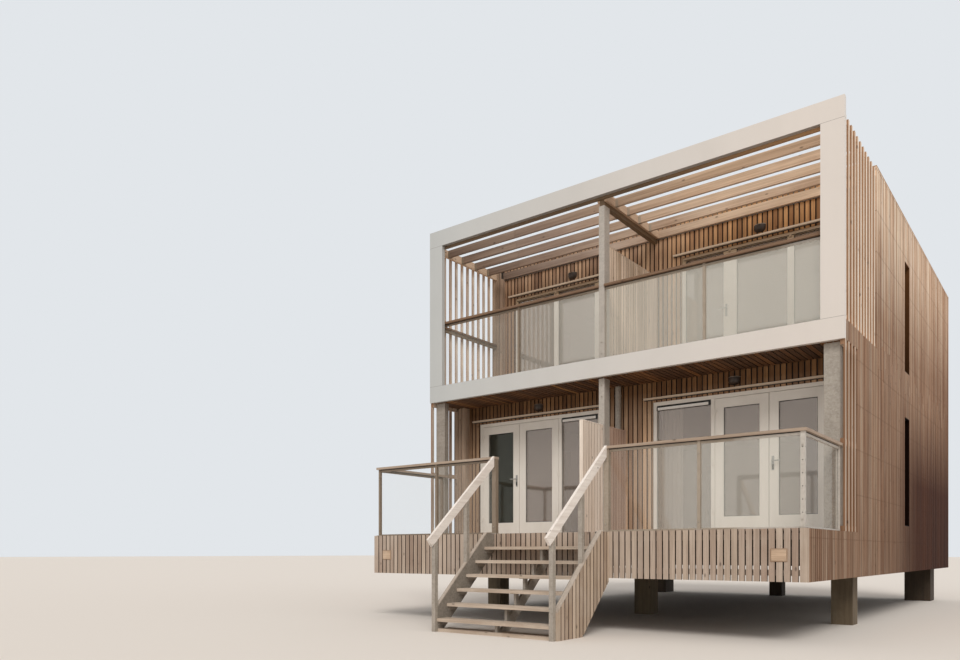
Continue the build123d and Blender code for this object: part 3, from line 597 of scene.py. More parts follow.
plateWood = wood("plate_timber", {
    "along": "X", "grain": (60, 3.0), "cloud": 3.0, "spread": 0.6,
    "tones": [(208, 182, 156), (192, 164, 138), (118, 92, 72)], "dark": (136, 108, 86),
    "bleached": (222, 204, 184),
})
zinc = steel("galvanised", {
    "tones": [(120, 110, 100), (150, 141, 130), (176, 167, 156), (198, 190, 180)],
})
columnZinc = steel("galvanised_columns", {
    "tones": [(124, 114, 104), (152, 143, 132), (178, 169, 158), (200, 192, 182)],
    # painted shade: darker and cooler towards the left
    "bright": (-0.025, 0.2, (236, 230, 222)), "fades": [("X", 3.0, -3.3, (234, 232, 232))],
})
paleZinc = steel("galvanised_pale", {
    "tones": [(156, 148, 138), (184, 176, 166), (202, 195, 186), (216, 210, 202)], "patches": 9,
    # painted shade: darker towards the left, and darker everywhere short of the right-hand end
    "fades": [("X", 0.0, -1.0, (212, 206, 200)), ("X", 2.9, 2.7, (216, 206, 194))],
})
# darker zinc, whose dark tones also paint the shade on the stringers' inner faces
stringerZinc = steel("galvanised_dull_and_shaded", {
    "tones": [(92, 86, 78), (124, 116, 106), (150, 142, 132), (172, 164, 154)], "patches": 6,
})
panelPaint = paint("frame_paint", {
    "colour": (222, 214, 207), "soiled": (202, 194, 186), "dirt": 0.3, "patches": 1.3,
    "rough": 0.35, "grain": 0.05, "seams": (4.155, 6.74), "seam": 0.003, "shadow": (110, 104, 98),
    # painted shade: cooler and a little darker towards the left
    "fades": [("X", 3.0, -3.6, (218, 229, 236))],
})
joineryPaint = paint("joinery_paint", {
    "colour": (232, 226, 217), "soiled": (208, 199, 187), "dirt": 0.4, "patches": 4, "rough": 0.35,
    # painted shade on the top band of the upper frames, under the heads
    "grain": 0.08, "fades": [("Z", casingZ - 0.14, casingZ - 0.1, (186, 164, 138))],
})
ventPaint = paint("vent_white", {
    "colour": (240, 237, 232), "soiled": (212, 206, 198), "dirt": 0.3, "patches": 8, "rough": 0.35,
    "grain": 0.05,
})
# painted shade: the casing heads take a darker beige, as if in shadow
headPaint = paint("casing_head_paint", {"colour": (160, 138, 114), "soiled": (134, 112, 90)})
hoodPaint = paint("drip_board_paint", {"colour": (212, 192, 170), "soiled": (176, 152, 128)})
darkPaint = paint("dark_steel", {
    "colour": (176, 134, 92), "soiled": (190, 148, 104),
    # painted shade: darker and cooler towards the left
    "fades": [("X", 3.4, 0.6, (162, 172, 184))],
})
revealPaint = paint("slot_reveal", {
    "colour": (98, 64, 36), "soiled": (56, 34, 16), "dirt": 0.6, "patches": 3, "rough": 0.6,
    # painted shade: darker towards the bottom
    "grain": 0.2, "fades": [("Z", 6.3, 3.5, (60, 44, 30))], "shine": 0.05,
})
lampPaint = paint("lamp_black", {
    "colour": (52, 40, 32), "soiled": (88, 68, 52), "dirt": 0.4, "patches": 20, "rough": 0.35,
})
# dark rubber for the seals; the same finish paints shadow in the strips under the drip boards and
# caps, and in the post's holes
sealAndShadow = paint("glazing_seal_and_shadow", {
    "colour": (38, 38, 36), "soiled": (70, 68, 62), "dirt": 0.4, "patches": 12, "rough": 0.6,
})
roofSkin = paint("roof_skin", {
    "colour": (112, 112, 110), "soiled": (84, 82, 78), "dirt": 0.6, "patches": 0.9, "rough": 0.7,
    "grain": 0.5,
})
satinSteel = paint("satin_steel", {
    "colour": (164, 162, 158), "soiled": (128, 126, 122), "dirt": 0.3, "patches": 30,
    "rough": 0.28, "grain": 0.15, "metal": 0.4,
})
guardGlass = pane("guard_glass", {
    "colour": (236, 230, 214), "mirror": 0.7, "body": 0.01, "haze": 0.08, "reflection_patches": 1.5,
    "side": 0.15,
    "denser": ((-2.4, 1.4, balconyZ, 9, 3.52, 0.25), (1.3, 2.2, 0, balconyZ, 3.52, 0.12)),
})
windowGlass = pane("window_glass", {
    "colour": (196, 182, 170), "mirror": 0.55, "body": 0.38, "upper": (balconyZ, 0.22),
})
# painted reflection: the first door leaf's pane has a darker, thinner coat, for its weaker
# reflection
dimGlass = pane("window_glass_dim", {"colour": (96, 96, 86), "mirror": 0.4, "body": 0.3})
# painted shade: the slot panes are nearly opaque and dark, standing for the unlit rooms behind,
# darker still on the lower storey
slotGlass = pane("slot_glass", {
    "colour": (66, 42, 20), "low": (18, 10, 6), "body": 0.93, "haze": 0.06, "shine": 0.04,
})
curtainCloth = cloth("curtain_cloth", {"colour": (230, 224, 214), "shade": (200, 192, 182)})
print("finishes ready")

# The CAD nodes' own finishes
leaves = [f"door_leaf_{n}" for n in range(1, 5)]
leafPanes = [f"door_glass_{n}" for n in range(1, 5)]
dress(panelPaint, "frame_rails", "frame_stiles")
dress(darkWood, "side_wall_left", "side_wall_right", "back_wall", "lower_piers", "lower_head",
      "upper_piers", "upper_head", "skirt_sides")
dress(sideWood, "cladding_right", "cladding_left", "cladding_back")
dress(screenWood, "upper_screens", "lower_screens")
dress(skirtWood, "skirt_front")
dress(stairWood, "stair_cladding")
dress(lowerDividerWood, "lower_divider")
dress(upperDividerWood, "upper_divider")
dress(capWood, "rail_caps")
dress(railWood, "stair_handrails")
dress(treadWood, "stair_treads")
dress(beamWood, "pergola_timbers")
dress(deckWood, "deck")
dress(floorWood, "deck_joists", "floor_beams", "ground_floor", "upper_floor")
dress(pileWood, "piles")
dress(columnZinc, "columns")
dress(zinc, "stair_posts", "stair_spine", "downpipe")
dress(paleZinc, "rail_posts")
dress(stringerZinc, "stair_stringers")
dress(darkPaint, "pergola_steel")
dress(roofSkin, "roof")
dress(joineryPaint, "lower_stiles", "lower_rails", "upper_frames", *leaves)
dress(hoodPaint, "drip_boards")
dress(lampPaint, "wall_lamps")
dress(guardGlass, "balustrade_glass")
dress(windowGlass, "lower_glass", "upper_glass", *leafPanes[1:])
dress(dimGlass, leafPanes[0])
dress(slotGlass, "slot_glass")
dress(satinSteel, "door_handle_1", "door_handle_4")

# Places that the pieces below share, read from the frame
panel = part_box("frame_rails")
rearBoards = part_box("cladding_back")
lowerHead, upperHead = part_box("lower_head"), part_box("upper_head")
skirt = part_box("skirt_front")
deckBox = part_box("deck")
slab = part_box("upper_floor")
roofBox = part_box("roof")
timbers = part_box("pergola_timbers")
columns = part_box("columns")
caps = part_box("rail_caps")
faceY, steelY = panel[0].y, panel[1].y
outX = panel[1].x
wallX, backY = rearBoards[1].x, rearBoards[1].y
roomX = lowerHead[1].x
deckZ = deckBox[1].z
ceilingZ = slab[0].z
roofZ = roofBox[1].z
batten = 0.025  # thickness of the boards
lowFrontY = lowerHead[0].y - batten
upFrontY = upperHead[0].y - batten

# Boards on the sides and the back
siding = {"pitch": 0.088, "gap": 0.011, "uneven": 0.003, "longest": 3.5, "joints": (3.7, 4.3),
          "joint": 0.002}
slot = {"y": faceY + 4.465, "x": (-1.8, 1.8), "half": 0.215,
        "heights": ((1.53, 3.42), (4.21, 6.12))}


def sideHeights(y):
    # runs of board at y along a side
    if y < steelY:
        return [(skirt[0].z, deckZ)]
    if y < lowWingY:
        return [(skirt[0].z, deckZ), (ceilingZ, balconyZ)]
    return [(skirt[0].z, balconyZ if y < upWingY else roofZ)]


def corners(stack, start, face):
    # a narrow board wherever a wall's end falls between two boards
    pitch = (backY - start) / round((backY - start) / siding["pitch"])
    for wallY, low, high in ((steelY, ceilingZ, balconyZ), (lowWingY, deckZ, ceilingZ),
                             (upWingY, balconyZ, roofZ)):
        edge = start + math.ceil((wallY - start) / pitch - 0.5) * pitch - siding["gap"] / 2
        if edge - wallY > sliver:
            stack.board(face, (wallY, edge, low, high), 0, 0.45)


skirtBackY = skirt[0].y + batten
sideHoles = [(*about(slot["y"], slot["half"]), *h) for h in slot["heights"]]
boards = Stack("boards_right")
rightFace = ("yzx", wallX, outX)
clad(boards, (skirtBackY, backY), siding, sideHeights, sideHoles, rightFace)
corners(boards, skirtBackY, rightFace)
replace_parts(boards.make(sideWood, "side_boards", edge=0.002), "cladding_right")

boards = Stack("boards_left")
leftFace = ("yzx", -wallX, -outX)
clad(boards, (faceY, backY), siding, sideHeights, sideHoles, leftFace)
corners(boards, faceY, leftFace)
clad(boards, (skirtBackY, faceY), siding, [(skirt[0].z, deckZ)], (),
     ("yzx", skirt[0].x, skirt[0].x - batten))
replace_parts(boards.make(sideWood, "side_boards", edge=0.002), "cladding_left")

boards = Stack("boards_back")
clad(boards, (-wallX, wallX), siding, [(skirt[0].z, roofZ)],
     [(*about(x, slot["half"]), *h) for h in slot["heights"] for x in slot["x"]],
     ("xzy", backY - batten, backY))
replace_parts(boards.make(sideWood, "side_boards", edge=0.002), "cladding_back")

# Boards on the front ends of the side walls and on their short inner faces
wing = {"thick": 0.02, "rail": 0.072, "boards": ((roomX, 3.43), (3.436, 3.488), (3.49, 3.535)),
        "strip": (3.54, wallX), "slim": 0.008, "midRail": caps[0].z + 0.035}
boards = Stack("boards_wings")
for wallY, frontY, low, high, levels in (
        (lowWingY, lowFrontY, deckZ, ceilingZ, (deckZ, wing["midRail"], ceilingZ - wing["rail"])),
        (upWingY, upFrontY, balconyZ, timbers[0].z, (balconyZ, timbers[0].z))):
    thick = (wallY - wing["thick"], wallY)
    middleY = (thick[0] + frontY) / 2
    top = high if low == deckZ else roofZ
    for side in (-1, 1):
        slim = wing["slim"] if side < 0 else 0  # the left end's boards are narrower
        for (near, far), over in zip(wing["boards"], (top, top, high)):
            boards.box((side * (near + slim), side * (far - slim)), thick, (low, over))
        for under, over in zip(levels, levels[1:]):
            boards.box([side * x for x in wing["strip"]], thick, (under + wing["rail"], over))
        for y in ((thick[0], middleY - slim), (middleY + slim, frontY)):
            boards.box((side * (roomX - wing["thick"]), side * roomX), y, (low, high))
boards.make(wingWood, "side_boards", edge=0.002)
print("side and back boards")

# Battens on the front walls, round the units, and over the wall beam
lowerUnits = ((-3.1, -0.48), (0.49, 3.24))
upperUnits = ((-3.1, -0.48), (0.48, 3.1))
battening = {"gap": 0.02, "uneven": 0.003, "overBeam": 0.02}
for name, finish, head, units, low, high, pitch in (
        ("battens_lower", lowerFacadeWood, lowerHead, lowerUnits, deckZ, ceilingZ, 0.0858),
        ("battens_upper", upperFacadeWood, upperHead, upperUnits, balconyZ, upperHead[1].z,
         0.0835)):
    battens = Stack(name)
    look = {**battening, "pitch": pitch}
    clad(battens, (-roomX, roomX), look, [(low, high)],
         [(*unit, low - 1, head[0].z) for unit in units],
         ("xzy", head[0].y, head[0].y - batten))
    if head is upperHead:
        clad(battens, (-roomX, roomX), {**look, "uneven": 0}, [(timbers[1].z, roofZ)], (),
             ("xzy", roofBox[0].y, roofBox[0].y - look["overBeam"]))
    battens.make(finish, "facade_boards", edge=0.0015)
print("front battens")

# Slats under the balcony
soffit = {"pitch": 0.088, "gap": 0.016, "thick": 0.012, "ends": (-3.53, 3.53), "clear": 0.03}
slats = Stack("soffit_slats")
clad(slats, soffit["ends"], soffit,
     lambda x: [(slab[0].y, lowFrontY if abs(x) < roomX - soffit["clear"] else lowWingY - batten)],
     (), ("xyz", ceilingZ - soffit["thick"], ceilingZ))
slats.make(soffitWood, "facade_boards", edge=0.001)

# Balcony boards, then deck boards with bearers under them
decking = {"pitch": 0.145, "gap": 0.006, "thick": 0.028, "balcony": 0.01, "ends": (-3.535, 3.535),
           "inset": 0.04}
bearer = {"count": 13, "first": -3.25, "pitch": 0.54, "wide": 0.06}
balconyBoards = Stack("balcony_boards")
clad(balconyBoards, (slab[0].y, upFrontY), decking, [decking["ends"]], (),
     ("yxz", balconyZ, balconyZ + decking["balcony"]))
balconyBoards.make(deckWood, "weathered_timber", edge=0.002)


def deckReach(y):
    # ends of the deck boards along x
    if y < faceY:
        return [(skirt[0].x + decking["inset"], wallX - decking["inset"])]
    return [(-wallX, wallX) if y < lowWingY else (-roomX, roomX)]


deckBoards = Stack("deck_boards")
deckUnder = deckZ - decking["thick"]
clad(deckBoards, (deckBox[0].y, deckBox[1].y), decking, deckReach, (), ("yxz", deckUnder, deckZ))
for i in range(bearer["count"]):
    x = bearer["first"] + i * bearer["pitch"]
    deckBoards.box((x, x + bearer["wide"]), (deckBox[0].y, deckBox[1].y),
                   (deckBox[0].z, deckUnder), 0.9)
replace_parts(deckBoards.make(deckWood, "weathered_timber", edge=0.002), "deck")
print("floors and soffit")

# Pergola: beams in two lengths with a butt joint, ledgers at their ends, the wall beam
pergola = {"thick": 0.045, "spineX": -0.025, "spineHalf": 0.04, "first": 0.4, "pitch": 0.405,
           "joint": 0.003, "splices": (-1.95, -2.2, -2.45, -2.7)}
hanger = {"plate": 0.0025, "reach": 0.05, "tall": 0.11}
beams, ledgers, hangers = Stack("pergola_beams"), Stack("pergola_ledgers"), Stack("beam_hangers")
farX = timbers[1].x
beamZ = (timbers[0].z, timbers[1].z)
wallBeamY = timbers[1].y - pergola["thick"]
for side in (-1, 1):
    near = pergola["spineX"] + side * pergola["spineHalf"]
    inner = near + side * pergola["thick"]
    outer = side * (farX - pergola["thick"])
    reaches = [(x, x + way * hanger["reach"]) for x, way in ((inner, side), (outer, -side))]
    ledgers.box((near, inner), (timbers[0].y, wallBeamY), beamZ)
    ledgers.box((outer, side * farX), (timbers[0].y, upWingY), beamZ)
    beams.box((near, side * roomX), (wallBeamY, timbers[1].y), beamZ)
    for i, splice in enumerate(pergola["splices"]):
        y = faceY + pergola["first"] + i * pergola["pitch"]
        ends = [inner, splice, outer] if side < 0 else [inner, outer]
        for start, end in zip(ends, ends[1:]):
            gap = side * pergola["joint"] if end == splice else 0
            beams.box((start, end - gap), (y, y + pergola["thick"]), beamZ)
        for plateY in (y - hanger["plate"], y + pergola["thick"]):
            for reach in reaches:
                hangers.box(reach, (plateY, plateY + hanger["plate"]),
                            (beamZ[0], beamZ[0] + hanger["tall"]))
        for reach in reaches:
            hangers.box(reach, (y, y + pergola["thick"]), (beamZ[0] - hanger["plate"], beamZ[0]))
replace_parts(beams.make(beamWood, "weathered_timber", edge=0.002), "pergola_timbers")
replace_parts(ledgers.make(ledgerWood, "weathered_timber", edge=0.002), "pergola_timbers")
hangers.make(paleZinc, "galvanised_steel")

# Dividers between the units: boards on both faces of a dark core, which paints the shade in the
# gaps, a thin cap, an end board, and a single wide board where the upper one meets the wall
partition = {"x": (-0.06, 0.0), "skin": 0.015, "cap": 0.015, "end": 0.012, "post": 0.17,
             "wide": 0.33, "boards": {"pitch": 0.088, "gap": 0.007, "uneven": 0.003}}
lower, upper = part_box("lower_divider"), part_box("upper_divider")
left, right = partition["x"]
coreX = (left + partition["skin"], right - partition["skin"])
skins = (("yzx", coreX[0], left), ("yzx", coreX[1], right))
postY = (columns[0].y, columns[0].y + partition["post"])
wideY = upper[1].y - partition["wide"]
for name, finish, (low, high), panels, wide in (
        ("lower_divider", lowerDividerWood, (lower[0].z, lower[1].z),
         ((lower[0].y, postY[0]), (postY[1], lower[1].y)), ()),
        ("upper_divider", upperDividerWood, (upper[0].z, upper[1].z),
         ((postY[1], wideY),), ((wideY, upper[1].y),))):
    core, boards = Stack(name + "_core"), Stack(name + "_boards")
    under = high - partition["cap"]
    for start, end in (*panels, *wide):
        core.box(coreX, (start + partition["end"], end), (low, under))
        boards.box(partition["x"], (start, end), (under, high), 0.6)
    first = panels[0][0]
    boards.box(partition["x"], (first, first + partition["end"]), (low, under), 0.1)
    for start, end in panels:
        skip = partition["end"] if start == first else 0
        clad(boards, (start + skip, end), partition["boards"], [(low, under)], (), *skins)
    for start, end in wide:
        for skin in skins:
            boards.board(skin, (start, end, low, under), 0, 1.0)
    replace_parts(core.make(darkWood, "facade_boards"), name)
    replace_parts(boards.make(finish, "facade_boards", edge=0.0015), name)
print("pergola and dividers")

# Seals round the glass
seal = {"wide": 0.008, "proud": 0.003}
lowerPane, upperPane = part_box("lower_glass"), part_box("upper_glass")
lowerLights = ((-1.27, -0.54), (0.55, 1.46))  # x edges of the fixed lights
upperLights = ((-3.04, -2.18), (-2.08, -1.27), (-1.05, -0.54), (0.54, 1.22), (1.44, 2.27),
               (2.37, 3.04))


def ring(stack, x, z, y):
    # four strips round an opening
    wide = seal["wide"]
    for strip in ((z[0], z[0] + wide), (z[1] - wide, z[1])):
        stack.box(x, y, strip, 0.5)
    for strip in ((x[0], x[0] + wide), (x[1] - wide, x[1])):
        stack.box(strip, y, (z[0] + wide, z[1] - wide), 0.5)


for number in range(1, 5):
    low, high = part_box(f"door_glass_{number}")
    seals = Stack(f"door_seal_{number}")
    for y in ((low.y - seal["proud"], low.y), (high.y, high.y + seal["proud"])):
        ring(seals, (low.x, high.x), (low.z, high.z), y)
    seals.make(sealAndShadow, "handle_metal", f"door_{number}")
seals = Stack("window_seals")
for lights, (low, high) in ((lowerLights, lowerPane), (upperLights, upperPane)):
    for x in lights:
        ring(seals, x, (low.z, high.z), (low.y - seal["proud"], low.y))
seals.make(sealAndShadow, "handle_metal")

# A pale bar on a dark strip at the top of each lower light, and heads over the upper units
vent = {"strip": (0.018, 0.003, 0.08, 0), "bar": (0.036, 0.018, 0.076, 0.032),
        "end": (0.038, 0.018, 0.08, 0.026), "ends": (0.016, 0.04)}
casing = {"inset": 0.03, "head": (0.012, 0, 0.05, 0.028), "line": (0.006, 0, 0.056, 0.05),
          "mullion": (0.02, 0, 0.08, 0.02), "mullions": (-2.13, 1.33, 2.32), "half": 0.02}
bars, strips, heads = Stack("vent_bars"), Stack("vent_slots"), Stack("casing_heads")
paneEdge = (lowerPane[0].y, lowerPane[1].z)
for x0, x1 in lowerLights:
    left, right = x0 + vent["ends"][0], x1 - vent["ends"][1]
    strips.hung((x0, x1), paneEdge, vent["strip"])
    bars.hung((left, right), paneEdge, vent["bar"])
    strips.hung((x0, left), paneEdge, vent["end"])
    strips.hung((right, x1), paneEdge, vent["end"])
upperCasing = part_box("upper_frames")
casingY = upperCasing[0].y
casingEdge = (casingY, upperCasing[1].z)
for x0, x1 in upperUnits:
    heads.hung((x0 + casing["inset"], x1 - casing["inset"]), casingEdge, casing["head"])
    strips.hung((x0 + casing["inset"], x1 - casing["inset"]), casingEdge, casing["line"])
for x in casing["mullions"]:
    heads.hung(about(x, casing["half"]), casingEdge, casing["mullion"])
bars.make(ventPaint, "joinery_paint", edge=0.002)
heads.make(headPaint, "joinery_paint", edge=0.002)
strips.make(sealAndShadow, "handle_metal")

# A dark line under the drip boards, which is painted shadow, and the pale rim of each lamp
hood = {"rise": 0.045, "over": 0.15, "end": 0.06, "line": (0.006, 0, 0.012, 0)}
lamp = {"x": (-1.745, 1.835), "radius": 0.1, "wide": 0.007, "tall": 0.006, "rise": 0.225,
        "steps": 16}
dripLines, rims = Stack("drip_lines"), Stack("lamp_rims")
for head, units, frontY in ((lowerHead, lowerUnits, lowFrontY), (upperHead, upperUnits, upFrontY)):
    for x0, x1 in units:
        dripLines.hung((x0 - hood["over"], x1 + hood["end"]), (frontY, head[0].z + hood["rise"]),
                       hood["line"])
    z = head[0].z + lamp["rise"]
    turns = [math.pi * (1 + i / lamp["steps"]) for i in range(lamp["steps"] + 1)]
    inside = lamp["radius"] - lamp["wide"]
    for x in lamp["x"]:
        for start, end in zip(turns, turns[1:]):
            flat = [(x + r * math.cos(t), head[0].y + r * math.sin(t))
                    for r, t in ((lamp["radius"], start), (lamp["radius"], end), (inside, end),
                                 (inside, start))]
            rims.solid([(a, b, z) for a, b in flat]
                       + [(a, b, z + lamp["tall"]) for a, b in flat], 0.5)
dripLines.make(sealAndShadow, "handle_metal")
rims.make(paleZinc, "galvanised_steel")

# Handle of the upper door, and the dark key plates of the others
handle = {"x": 1.27, "z": 5.21, "half": 0.017, "plate": (0.008, 0, 0.14, -0.07), "rod": 0.009,
          "neck": (0.03, 0.05), "lever": (0.052, 0.12), "side": 0.05}
key = {"inset": 0.017, "half": 0.013, "low": 0.015, "high": 0.085, "rod": 0.011, "out": 0.012,
       "leaf": 0.02, "plate": (0.01, 0.008)}
upperHandle = Stack("upper_handle")
upperHandle.hung(about(handle["x"], handle["half"]), (casingY, handle["z"]), handle["plate"])
for x, (out, long), axis in ((handle["x"], handle["neck"], 1),
                             (handle["x"] - handle["side"], handle["lever"], 0)):
    upperHandle.rod((x, casingY - out, handle["z"]), handle["rod"], long, axis)
upperHandle.make(satinSteel, "handle_metal", edge=0.002)
for number in (1, 4):
    low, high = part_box(f"door_handle_{number}")
    x = high.x - key["inset"] if number == 1 else low.x + key["inset"]
    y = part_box(f"door_leaf_{number}")[0].y + key["leaf"]
    cylinder = Stack(f"key_cylinder_{number}")
    cylinder.box(about(x, key["half"]), [y - out for out in key["plate"]],
                 (low.z + key["low"], low.z + key["high"]), 0.5)
    cylinder.rod((x, y - key["out"], low.z + (key["low"] + key["high"]) / 2), key["rod"],
                 key["out"], 1, 16)
    cylinder.make(sealAndShadow, "handle_metal", f"door_{number}")

# Curtains in front folds, hung from rails
curtains = {
    "curtain_lower_window": {"x": (0.53, 0.90), "z": (1.39, 3.46), "folds": 5},
    "curtain_lower_door": {"x": (2.95, 3.17), "z": (1.39, 3.46), "folds": 3},
    "curtain_upper_left": {"x": (-3.06, -2.20), "z": (4.17, 6.18), "folds": 9},
    "curtain_upper_right": {"x": (0.52, 0.93), "z": (4.17, 6.18), "folds": 5},
}
hanging = {"depth": 0.028, "wander": 0.006, "behind": 0.06, "rail": 0.008, "over": 0.06,
           "steps": 12, "rows": 14}


def curtain(name, look, y, seed):
    # a sheet gathered into soft folds that lean and widen a little downwards
    steps, rows = look["folds"] * hanging["steps"], hanging["rows"]
    (x0, x1), (z0, z1) = look["x"], look["z"]
    points = []
    for j in range(rows + 1):
        t = j / rows
        for i in range(steps + 1):
            s = i / steps
            phase = 2 * math.pi * look["folds"] * s
            depth = hanging["depth"] * (0.55 + 0.45 * t) * (1 + 0.25 * math.sin(5.1 * s + seed))
            wander = hanging["wander"] * math.sin(phase * 0.5 + 3 * t + seed)
            points.append((x0 + (x1 - x0) * s + wander, y + depth * math.sin(phase),
                           z1 - (z1 - z0) * t))
    wide = steps + 1
    faces = [(j * wide + i, (j + 1) * wide + i, (j + 1) * wide + i + 1, j * wide + i + 1)
             for j in range(rows) for i in range(steps)]
    mesh = bpy.data.meshes.new(name)
    mesh.from_pydata(points, [], faces)
    mesh.shade_smooth()
    piece = place(name, mesh, curtainCloth, "joinery_paint")
    rail = Stack(name + "_rail")
    rail.rod(((x0 + x1) / 2, y, z1 + hanging["rail"]), hanging["rail"], x1 - x0 + hanging["over"],
             0)
    rail.make(satinSteel, "handle_metal")


for number, (name, look) in enumerate(curtains.items()):
    head = lowerHead if "lower" in name else upperHead
    curtain(name, look, head[1].y + hanging["behind"], number * 1.7)
print("glazing details and curtains")

# Channels that hold the guard glass under the caps, a dark strip of painted shadow under each cap,
# and a sill strip at its foot
channel = {"tall": 0.03, "drop": 0.012, "wide": 0.026, "shadowStrip": 0.018, "sill": (0.03, 0.022)}
screenEnd = {"channel": (3.5, 3.536), "front": 0.095, "rear": 0.02, "tall": 0.06,
             "shadowStrip": (3.43, 3.47), "half": 0.03, "shadowStripTall": 0.05}  # at the balcony's screens
rail = {"capTall": 0.035, "capHalf": 0.0475, "balcony": 0.06, "left": 0.02, "right": 0.025,
        "stair": 0.035, "between": (-2.03, 2.29), "balconyRuns": ((-3.45, -0.075), (0.025, 3.45))}
stair = {"left": -0.875, "right": 1.005, "going": 0.21, "risers": 7, "tread": 0.042,
         "over": 0.015, "nose": 0.18, "first": 0.24}
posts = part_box("rail_posts")
capLow, balconyCapLow = caps[0].z, caps[1].z - rail["capTall"]
railY, balconyRailY = caps[0].y + rail["capHalf"], slab[0].y + rail["balcony"]
leftRailX, rightRailX = posts[0].x + rail["left"], posts[1].x - rail["right"]
balconyTop = balconyZ + decking["balcony"]
channels, capShadows, sills = Stack("glass_channels"), Stack("cap_shadow_strips"), Stack("glass_sills")
for alongX, reach, across, under, foot in (
        (True, (leftRailX, stair["left"] - rail["stair"]), railY, capLow, deckZ),
        (True, (stair["right"] + rail["stair"], rightRailX), railY, capLow, deckZ),
        (False, (railY, faceY), leftRailX, capLow, deckZ),
        (False, (railY, faceY), rightRailX, capLow, deckZ),
        *[(True, run, balconyRailY, balconyCapLow, balconyTop) for run in rail["balconyRuns"]]):
    top = under - channel["drop"]
    for stack, wide, z in ((channels, channel["wide"], (top - channel["tall"], top)),
                           (capShadows, channel["shadowStrip"], (top, under)),
                           (sills, channel["sill"][0], (foot, foot + channel["sill"][1]))):
        flat = about(across, wide / 2)
        stack.box(reach if alongX else flat, flat if alongX else reach, z)
for side in (-1, 1):
    channels.box([side * x for x in screenEnd["channel"]],
                 (steelY + screenEnd["front"], upWingY - screenEnd["rear"]),
                 (balconyCapLow - screenEnd["tall"], balconyCapLow))
    capShadows.box([side * x for x in screenEnd["shadowStrip"]], about(balconyRailY, screenEnd["half"]),
              (balconyCapLow - screenEnd["shadowStripTall"], balconyCapLow))
channels.make(paleZinc, "galvanised_steel", edge=0.002)
capShadows.make(sealAndShadow, "handle_metal")
sills.make(paleZinc, "galvanised_steel", edge=0.002)

# Bolts and feet of the posts, and the bolts down the columns' sides
foot = {"half": 0.045, "thick": 0.008}
bolt = {"radius": 0.009, "long": 0.014, "heights": (0.10, 0.95), "sides": 10}
hole = {"radius": 0.006, "deep": 0.003, "count": 6, "first": 0.18, "pitch": 0.15, "out": 0.0255}
columnBolt = {"heights": (0.12, 0.30), "radius": 0.01, "proud": 0.006,
              "count": 8, "first": 0.2, "pitch": 0.3, "side": (0.008, 0.01), "sideProud": 0.004,
              "behind": 0.08}
bolts, holes = Stack("bolts"), Stack("post_holes")
for x, half in ((leftRailX, rail["left"]), (rail["between"][0], rail["left"]),
                (stair["left"], rail["stair"]), (stair["right"], rail["stair"]),
                (rail["between"][1], rail["left"]), (rightRailX, rail["right"])):
    for rise in bolt["heights"]:
        bolts.rod((x, railY - half - bolt["long"] / 2, deckZ + rise), bolt["radius"],
                  bolt["long"], 1, bolt["sides"])
    bolts.box(about(x, foot["half"]), about(railY, foot["half"]), (deckZ, deckZ + foot["thick"]))
# painted shade: dark discs on the right-hand post stand for its holes
for i in range(hole["count"]):
    z = deckZ + hole["first"] + i * hole["pitch"]
    for x, y, axis in ((rightRailX, railY - hole["out"], 1), (rightRailX + hole["out"], railY, 0)):
        holes.rod((x, y, z), hole["radius"], hole["deep"], axis, 10)
for z in (*[balconyZ + rise for rise in columnBolt["heights"]],
          *[ceilingZ - rise for rise in columnBolt["heights"]]):
    bolts.rod((pergola["spineX"], columns[0].y - columnBolt["proud"], z), columnBolt["radius"],
              bolt["long"], 1, bolt["sides"])
for side in (-1, 1):
    for i in range(columnBolt["count"]):
        z = deckZ + columnBolt["first"] + i * columnBolt["pitch"]
        x = side * (columns[1].x + columnBolt["sideProud"])
        bolts.rod((x, steelY + columnBolt["behind"], z), *columnBolt["side"], 0, bolt["sides"])
bolts.make(zinc, "galvanised_steel", edge=0.001)
holes.make(sealAndShadow, "handle_metal")

# Stair: timber caps on the stringers, cleats under the treads
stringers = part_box("stair_stringers")
riser = (deckZ + stair["over"]) / stair["risers"]
noseY = stringers[1].y - stair["nose"]
footZ = deckZ - (noseY - stringers[0].y) * riser / stair["going"]
cleat = {"thick": 0.006, "tall": 0.05, "out": 0.045, "front": 0.03, "inset": 0.03,
         "middleX": (0.03, 0.14), "middleY": (0.05, 0.19), "middleThick": 0.008}
stringerCap = {"tall": 0.02, "sunk": 0.002, "left": 0.026, "right": 0.033, "aside": 0.022}
stringerCaps = Stack("stringer_caps")
for x, half in ((stair["left"], stringerCap["left"]),
                (stair["right"] + stringerCap["aside"], stringerCap["right"])):
    stringerCaps.sloped(about(x, half), (stringers[0].y, footZ - stringerCap["sunk"]),
                        (noseY, deckZ - stringerCap["sunk"]), stringerCap["tall"], 0.4)
stringerCaps.make(slopeWood, "weathered_timber", edge=0.002)
cleats = Stack("tread_cleats")
for i in range(stair["risers"] - 1):
    top = deckZ - (i + 1) * riser - stair["tread"]
    front = stringers[1].y - stair["first"] - i * stair["going"]
    y = (front + cleat["front"], front + stair["going"])
    for x, way in ((stair["left"] + cleat["inset"], 1), (stair["right"] - cleat["inset"], -1)):
        cleats.box((x, x + way * cleat["thick"]), y, (top - cleat["tall"], top))
        cleats.box((x, x + way * cleat["out"]), y, (top - cleat["thick"], top))
    cleats.box(cleat["middleX"], [front + y for y in cleat["middleY"]],
               (top - cleat["middleThick"], top))
cleats.make(zinc, "galvanised_steel", edge=0.001)

